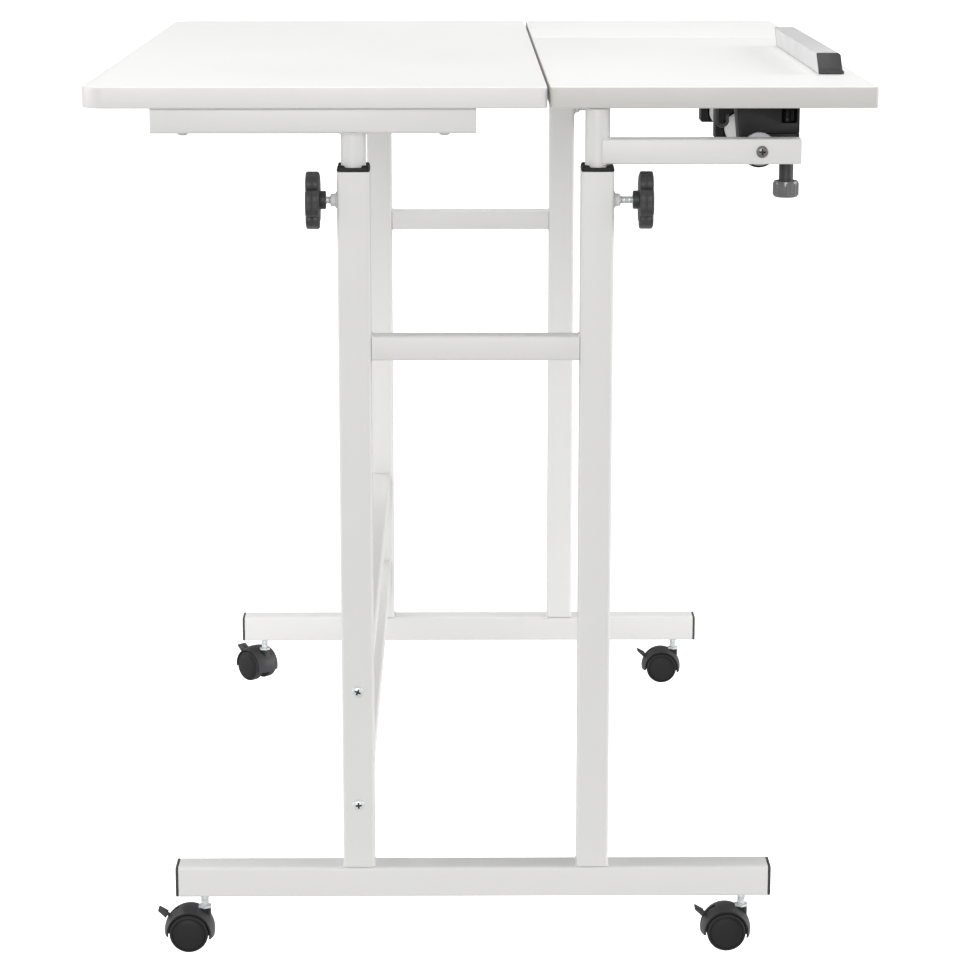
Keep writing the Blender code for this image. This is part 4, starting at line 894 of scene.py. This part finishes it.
def ledgeLoop(y, z):
    depth, height, top = ledge["depth"], ledge["height"], ledge["footHeight"]
    front, step = ledge["foot"] - depth, top - ledge["foot"]
    crown = (front + ledge["slope"] + ledge["crown"], height - ledge["crown"])
    loop = [(0.0, height - ledge["bead"]), (-ledge["bead"], height)]
    loop += arcPoints(*crown, ledge["crown"], 90, 170, 10)
    loop += [(front, top), (-depth + 0.0004, step + 0.0003), (-depth, step), (-depth, 0.0), (-ledge["lean"], 0.0)]
    return [(u + y, v + z) for u, v in loop]


low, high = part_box("ledge")
loop = ledgeLoop(high.y, low.z)
rail = softPrism(loop, low.x, high.x, ledge["round"], "X", 2)
makePiece("ledge_rail", rail, [satinSilver], "tilt_top", ["ledge"], 30)
for side, sign in sides.items():
    name, groove = f"{side}_ledge_cap", ledge["groove"]
    capLow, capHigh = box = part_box(name)
    face = faceOf(box, "X", sign)
    span = sorted((face, faceOf((low, high), "X", sign) + sign * ledge["capGap"]))
    cap = softPrism(loop, *span, ledge["capRound"], "X", 3)
    cuts = [slab((face - groove, face + groove), (capLow.y - overrun, capHigh.y + overrun),
                 (low.z + rise, low.z + rise + groove)) for rise in ledge["grooves"]]
    makePiece(f"{side}_ledge_end", carved(cap, *cuts), [blackMould], "tilt_top", [name], 30)
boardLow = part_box("tilt_board")[0]
ledgeScrews = [((x, middleOf(low, high)[1], boardLow.z), (0, 0, -1))
               for x in (low.x + ledge["screwFromEnd"], high.x - ledge["screwFromEnd"])]

hook = {"wire": 0.0025, "drop": 0.024, "bend": 0.0042, "tip": 0.005, "inBoard": 0.009, "straight": 0.006, "steps": 16}
low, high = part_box("wire_hook")
x, wireR = middleOf(low, high)[0], hook["wire"] / 2
shankY, boardZ = high.y - wireR, high.z - hook["inBoard"]
bendZ = boardZ + hook["bend"] + wireR - hook["drop"]
route = [(shankY, high.z), (shankY, boardZ), (shankY, bendZ + hook["straight"])]
route += arcPoints(shankY - hook["bend"], bendZ, hook["bend"], 0, -180, 20)
route += [(shankY - 2 * hook["bend"], bendZ + hook["tip"] * step / 3) for step in (1, 2)]
ring = circleLoop(1, hook["steps"])
rows = []
for i, (y, z) in enumerate(route):
    before, after = route[max(i - 1, 0)], route[min(i + 1, len(route) - 1)]
    along = Vector((0, after[0] - before[0], after[1] - before[1])).normalized()
    across = Vector((0, -along.z, along.y))
    rows.append([Vector((x, y, z)) + wireR * (Vector((1, 0, 0)) * c + across * s) for c, s in ring])
tipY, tipZ = route[-1][0], bendZ + hook["tip"] - wireR
for step in range(1, 6):  # rounded tip
    turn = math.pi / 2 * step / 5
    r, rise = wireR * math.cos(turn), wireR * math.sin(turn)
    rows.append([Vector((x + r * c, tipY - r * s, tipZ + rise)) for c, s in ring])
makePiece("bag_hook", skinMesh(rows), [blackWire], "tilt_top", ["wire_hook"])
print("ledge and hook done")


# casters, drawn about the stem's axis with the wheels trailing along +Y
casters = {
    "trail": 0.0124, "wheel": 0.031, "gap": 0.0006, "wall": 0.0014, "rise": 0.0027, "width": 0.027,
    "lever": -8, "stem": 195, "web": 0.009, "webHub": 0.011, "webRound": 0.0004, "hoodSoft": 0.00035,
    "axleHole": 0.0046, "boss": 0.0098, "bossTop": 0.034, "nutFlats": 0.010, "nutHeight": 0.0016,
    "stemWidth": 0.0064, "height": 0.046, "stemInFoot": 0.012, "turn": {"right_rear_caster": -44},
}
tires = {"edge": 0.0022, "outer": 0.0155, "inner": 0.0055, "axle": 0.002, "shoulder": 0.0012, "round": 0.0006,
         "face": ((0.0, 0.0), (0.3, 0.0001), (0.6, 0.0004), (0.8, 0.0009),  # share of the radius, fall
                  (0.83, 0.0013), (0.85, 0.0009), (0.88, 0.0011))}  # a bead at the end
brakes = {
    "angle": 38.0, "lean": 30.0, "below": 36.0, "above": 27.0, "pinOut": 0.0021, "eye": 0.0017, "tongue": 0.0026,
    "thick": 0.0022, "tab": 0.011, "start": 0.0041, "toe": 0.0008, "heel": 0.0026, "length": 0.0127, "round": 0.0006,
    "play": 0.0003, "pin": 0.002, "pinEnd": 0.0011,
}
wheelR = casters["wheel"] / 2
axleY, axleZ = casters["trail"], wheelR
crown = wheelR + casters["gap"] + casters["wall"] + casters["rise"]
pinR = wheelR + brakes["pinOut"]
pinY, pinZ = arcPoints(axleY, axleZ, pinR, brakes["angle"], brakes["angle"], 1)[0]


def hoodMesh(steps=56):
    half, rise, wall = casters["width"] / 2, casters["rise"], casters["wall"]
    bow = (half * half + rise * rise) / (2 * rise)
    span = math.degrees(math.asin(half / bow))
    section = arcPoints(0, crown - bow, bow, 90 - span, 90 + span, 20)
    section += arcPoints(0, crown - wall - bow, bow, 90 + span, 90 - span, 20)
    rows = []
    for step in range(steps + 1):
        turn = math.radians(casters["lever"] + (casters["stem"] - casters["lever"]) * step / steps)
        rows.append([(x, axleY + r * math.cos(turn), axleZ + r * math.sin(turn)) for x, r in section])
    return softened(skinMesh(rows), casters["hoodSoft"], 2, 50)


def wedge(low, high, inner, outer, width):
    loop = arcPoints(axleY, axleZ, outer, low, high, 16) + arcPoints(axleY, axleZ, inner, high, low, 16)
    return plainPrism(loop, (-width / 2, width / 2))


def housingMesh():
    loop = arcPoints(axleY, axleZ, crown - casters["wall"] / 2, casters["lever"], casters["stem"], 40)
    loop += arcPoints(axleY, axleZ, casters["webHub"] / 2, 225, 315, 8)
    web = softPrism(loop, -casters["web"] / 2, casters["web"] / 2, casters["webRound"], "X", 2)
    r, top = casters["boss"] / 2, casters["bossTop"]
    boss = turnedMesh([(0, wheelR), (r, wheelR), (r, top - 0.0006), (r - 0.0002, top - 0.0002), (r - 0.0006, top),
                       (0, top)], "Z", 40)
    body = carved(hoodMesh(), web, boss, keep="UNION")
    floor = pinR - brakes["eye"] - brakes["play"]
    slot = wedge(brakes["angle"] - brakes["below"], brakes["angle"] + brakes["above"], floor, crown + 0.002,
                 brakes["tongue"] + 2 * brakes["play"])
    pinSpan = brakes["tongue"] / 2 + brakes["pinEnd"] + brakes["play"]
    pins = rod(brakes["pin"] + 2 * brakes["play"], -pinSpan, pinSpan, "X", pinY, pinZ, 20)
    axle = rod(casters["axleHole"], -3 * overrun, 3 * overrun, "X", axleY, axleZ, 28)
    mesh = carved(body, slot, pins, axle)

    def shaded(face):
        out = Vector((0, face.center.y - axleY, face.center.z - axleZ))
        return out.length > wheelR and (abs(face.normal.x) > 0.6 or face.normal.dot(out) < -0.4 * out.length)

    paintFaces(mesh, 1, shaded)  # the hood's rim and inside get painted shade, darker than its back
    return mesh


def stemMesh():
    top = casters["bossTop"]
    low, high = top + casters["nutHeight"], casters["height"] + casters["stemInFoot"]
    core = casters["stemWidth"] / 2 - threads["ridge"]
    nut = softPrism(circleLoop(casters["nutFlats"] / math.sqrt(3), 6), top - 0.0002, low, 0.0003, "Z", 2)
    stem = turnedMesh([(0, top), (core, top), (core, high - 0.0006), (core - 0.0006, high), (0, high)], "Z", 32)
    return joined(nut, stem, threadCoil((0, 0, low), (0, 0, 1), core, high - low - 0.001, paleZinc))


def wheelsMesh():
    edge, outer, inner, soft = tires["edge"], tires["outer"], tires["inner"], tires["round"]
    half = [(wheelR * share, outer - fall) for share, fall in tires["face"]]
    shoulder = outer - tires["shoulder"]
    half += [(wheelR - edge + edge * up, shoulder - edge + edge * across)
             for across, up in arcPoints(0, 0, 1, 8, 90, 6)]
    half += [(wheelR, inner + soft), (wheelR - soft, inner), (tires["axle"], inner)]
    mesh = turnedMesh(half + [(r, -w) for r, w in reversed(half)], "X", 64)
    paintFaces(mesh, 1, lambda face: math.hypot(face.center.y, face.center.z) > wheelR - edge * 0.35)
    return mesh


def brakeMesh():
    half, start, top, heel = brakes["tongue"] / 2, brakes["start"], brakes["toe"], brakes["heel"]
    eye = rod(2 * brakes["eye"], -half, half, "X", 0, 0, 28)
    reach, under = (start + brakes["length"]) / 2, top - brakes["thick"]
    tongue = plainPrism([(0, top), (0, under), (reach, under), (reach, top)], (-half, half))
    loop = arcPoints(brakes["length"] - top, 0, top, -90, 90, 8)
    loop += [(start + 0.0004, top), (start, top - 0.0004), (start, 0.0003 - heel), (start + 0.0003, -heel)]
    tab = softPrism(loop, -brakes["tab"] / 2, brakes["tab"] / 2, brakes["round"], "X", 3)
    end = half + brakes["pinEnd"]
    pin = rod(brakes["pin"], -end, end, "X", 0, 0, 16)
    return moved(joined(eye, tongue, tab, pin), turn=math.radians(brakes["lean"]), axis="X")


housing, stem, wheels, brake = housingMesh(), stemMesh(), wheelsMesh(), brakeMesh()
for side in sides:
    for end, toward in ends.items():
        corner = f"{side}_{end}"
        body = f"{corner}_caster"
        low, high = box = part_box(f"{side}_foot")
        x, y = middleOf(low, high)[0], faceOf(box, "Y", toward) - toward * feet["stemInset"]
        turn = math.radians(casters["turn"].get(body, 0.0))
        for name, mesh, finishes, rides, stands, place in (
            # the housing's second finish is painted shade on its rim and inside
            ("caster_housing", housing, [blackMould, darkMouldAndShade], body, [body], (0, 0, 0)),
            ("caster_stem", stem, [paleZinc], body, (), (0, 0, 0)),
            ("wheel_pair", wheels, [darkMouldAndShade, wheelTread], f"{corner}_wheels", [f"{corner}_wheels"],
             (0, axleY, axleZ)),
            ("brake_lever", brake, [blackMould], f"{corner}_brake", [f"{corner}_brake"], (0, pinY, pinZ)),
        ):
            made = moved(moved(mesh.copy(), *place), x, y, 0.0, turn)
            makePiece(f"{corner}_{name}", made, finishes, rides, stands)
print("casters done")


# bolts through the rear posts into the stretchers, and the screws under the ledge
stretcherBolts = []
for level in ("upper", "lower"):
    y, z = middleOf(*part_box(f"{level}_stretcher"))[1:]
    for side, sign in sides.items():
        stretcherBolts.append(((faceOf(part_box(f"{side}_rear_post"), "X", sign), y, z), (sign, 0, 0)))
makeScrews("stretcher_bolts", stretcherBolts, 1.0, 7, paleZinc, "frame")
makeScrews("ledge_screws", ledgeScrews, ledge["screwSize"], 9, brightZinc, "tilt_top")
bpy.data.objects.remove(headObject)

# weld along the feet of the posts and the ends of the rails, and round the lift tubes
welds = {"bead": 0.0009, "spacing": 0.0011, "postInset": 0.003, "railInset": 0.002, "postWidth": 0.025,
         "armRadius": 0.0098, "armSpan": (208, 332), "supportRadius": 0.0097}
frameRuns, armRuns, supportRuns = [], [], []
for side in sides:
    for end, toward in ends.items():
        low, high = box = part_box(f"{side}_{end}_post")
        y, inset = faceOf(box, "Y", -toward), welds["postInset"]  # the face without the nut
        for at in (y, y + toward * welds["postWidth"]):
            frameRuns.append([(low.x + inset, at, low.z), (high.x - inset, at, low.z)])
    low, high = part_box(f"{side}_side_rail")
    inset = welds["railInset"]
    frameRuns += [[(low.x + inset, y, z), (high.x - inset, y, z)] for y in (low.y, high.y) for z in (low.z, high.z)]
    curve = arcPoints(*middleOf(*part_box(f"{side}_front_lift_tube"))[:2], welds["armRadius"], *welds["armSpan"], 16)
    armRuns += [[(u, v, corner.z) for u, v in curve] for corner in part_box(f"{side}_arm")]
    low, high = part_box(f"{side}_rear_lift_tube")
    curve = arcPoints(*middleOf(low, high)[:2], welds["supportRadius"], 0, 360, 32)
    supportRuns.append([(u, v, high.z) for u, v in curve])
for name, runs, body, seed in (("frame_welds", frameRuns, "frame", 5), ("arm_welds", armRuns, "front_carriage", 6),
                               ("support_welds", supportRuns, "rear_carriage", 6)):
    beads = grown(weldTree, lineMesh(runs), {
        "Bead": welds["bead"], "Spacing": welds["spacing"], "Seed": seed, "Finish": whiteCoat})
    makePiece(name, beads, [whiteCoat], body, (), 180)
print("fasteners and welds done")


# floor, light and camera
studio = {
    "floor": 40.0, "shine": (0.88, 0.40), "fade": (0.30, 0.60), "glow": 0.85,
    "horizon": 0.36, "zenith": 0.44, "bend": (0.30, 0.62), "skyGlow": 0.9,
    "lamps": {
        "overhead": {"energy": 1.6, "width": 45, "source": (0.3, 0.15, 1.0)},
        "nearFill": {"energy": 1.42, "width": 30, "source": (-1.0, 0.10, 0.18)},
        "userFill": {"energy": 1.9, "width": 40, "source": (0.05, -1.0, 0.26)},
        "wallFill": {"energy": 1.35, "width": 40, "source": (0.05, 1.0, 0.16)},
    },
}
white = (1.0, 1.0, 1.0, 1.0)


def showWhiter(tree, level, extra, target):  # the camera sees more light than it gives
    seen = addNode(tree, "ShaderNodeLightPath")
    glow = addNode(tree, "ShaderNodeMath", {1: extra}, operation="MULTIPLY_ADD")
    wire(tree, (level, "Result", glow, 2), (seen, "Is Camera Ray", glow, 0))
    tree.links.new(glow.outputs[0], target)


reach = studio["floor"]
floorMesh = bpy.data.meshes.new("floor")
floorMesh.from_pydata([(x, y, 0) for x, y in ((-reach, -reach), (reach, -reach), (reach, reach), (-reach, reach))],
                      [], [(0, 1, 2, 3)])
floorFinish = makeFinish("paleFloor", "floor", (0.06, 0.06, 0.06), (0.05, 0.05, 0.05), 0.8, (0.7, 0.8))
tree = floorFinish.node_tree  # a light table, brightest under the desk
shader = tree.nodes["Principled BSDF"]
spot = addNode(tree, "ShaderNodeTexCoord")
spotParts = addNode(tree, "ShaderNodeSeparateXYZ")
aside = addNode(tree, "ShaderNodeMath", operation="ABSOLUTE")
shine = addNode(tree, "ShaderNodeMapRange", {
    "From Min": studio["fade"][0], "From Max": studio["fade"][1],
    "To Min": studio["shine"][0], "To Max": studio["shine"][1]})
wire(tree, (spot, "Object", spotParts, "Vector"), (spotParts, "X", aside, 0), (aside, 0, shine, "Value"))
showWhiter(tree, shine, studio["glow"], shader.inputs["Emission Strength"])
shader.inputs["Emission Color"].default_value = white
floorMesh.materials.append(floorFinish)
floor = bpy.data.objects.new("studio_floor", floorMesh)
scene.collection.objects.link(floor)

softSky = bpy.data.worlds.new("softSky")  # brighter overhead than round the sides, white behind a low view
softSky.use_nodes = True
tree = softSky.node_tree
backdrop = tree.nodes["Background"]
way = addNode(tree, "ShaderNodeTexCoord")
parts = addNode(tree, "ShaderNodeSeparateXYZ")
level = addNode(tree, "ShaderNodeMapRange", {
    "From Min": studio["bend"][0], "From Max": studio["bend"][1],
    "To Min": studio["horizon"], "To Max": studio["zenith"]}, interpolation_type="SMOOTHSTEP")
wire(tree, (way, "Generated", parts, "Vector"), (parts, "Z", level, "Value"))
showWhiter(tree, level, studio["skyGlow"], backdrop.inputs["Strength"])
backdrop.inputs["Color"].default_value = white
scene.world = softSky
scene.view_settings.view_transform = "Standard"

for name, light in studio["lamps"].items():
    lamp = bpy.data.lights.new(name, "SUN")
    lamp.energy = light["energy"]
    lamp.angle = math.radians(light["width"])
    lampObject = bpy.data.objects.new(name, lamp)
    lampObject.rotation_euler = (-Vector(light["source"])).to_track_quat("-Z", "Y").to_euler()
    scene.collection.objects.link(lampObject)

lens = {"place": (-2.6526, 0.0183, 0.8757), "pitch": 0.21404, "yaw": 0.00825, "focal": 112.15, "sensor": 36.0}
eye = bpy.data.cameras.new("photoView")
eye.lens = lens["focal"]
eye.sensor_width = lens["sensor"]
eyeObject = bpy.data.objects.new("photoView", eye)
eyeObject.location = lens["place"]
eyeObject.rotation_euler = (math.pi / 2 - lens["pitch"], 0.0, -math.pi / 2 - lens["yaw"])
scene.collection.objects.link(eyeObject)
scene.camera = eyeObject

print("scene ready")
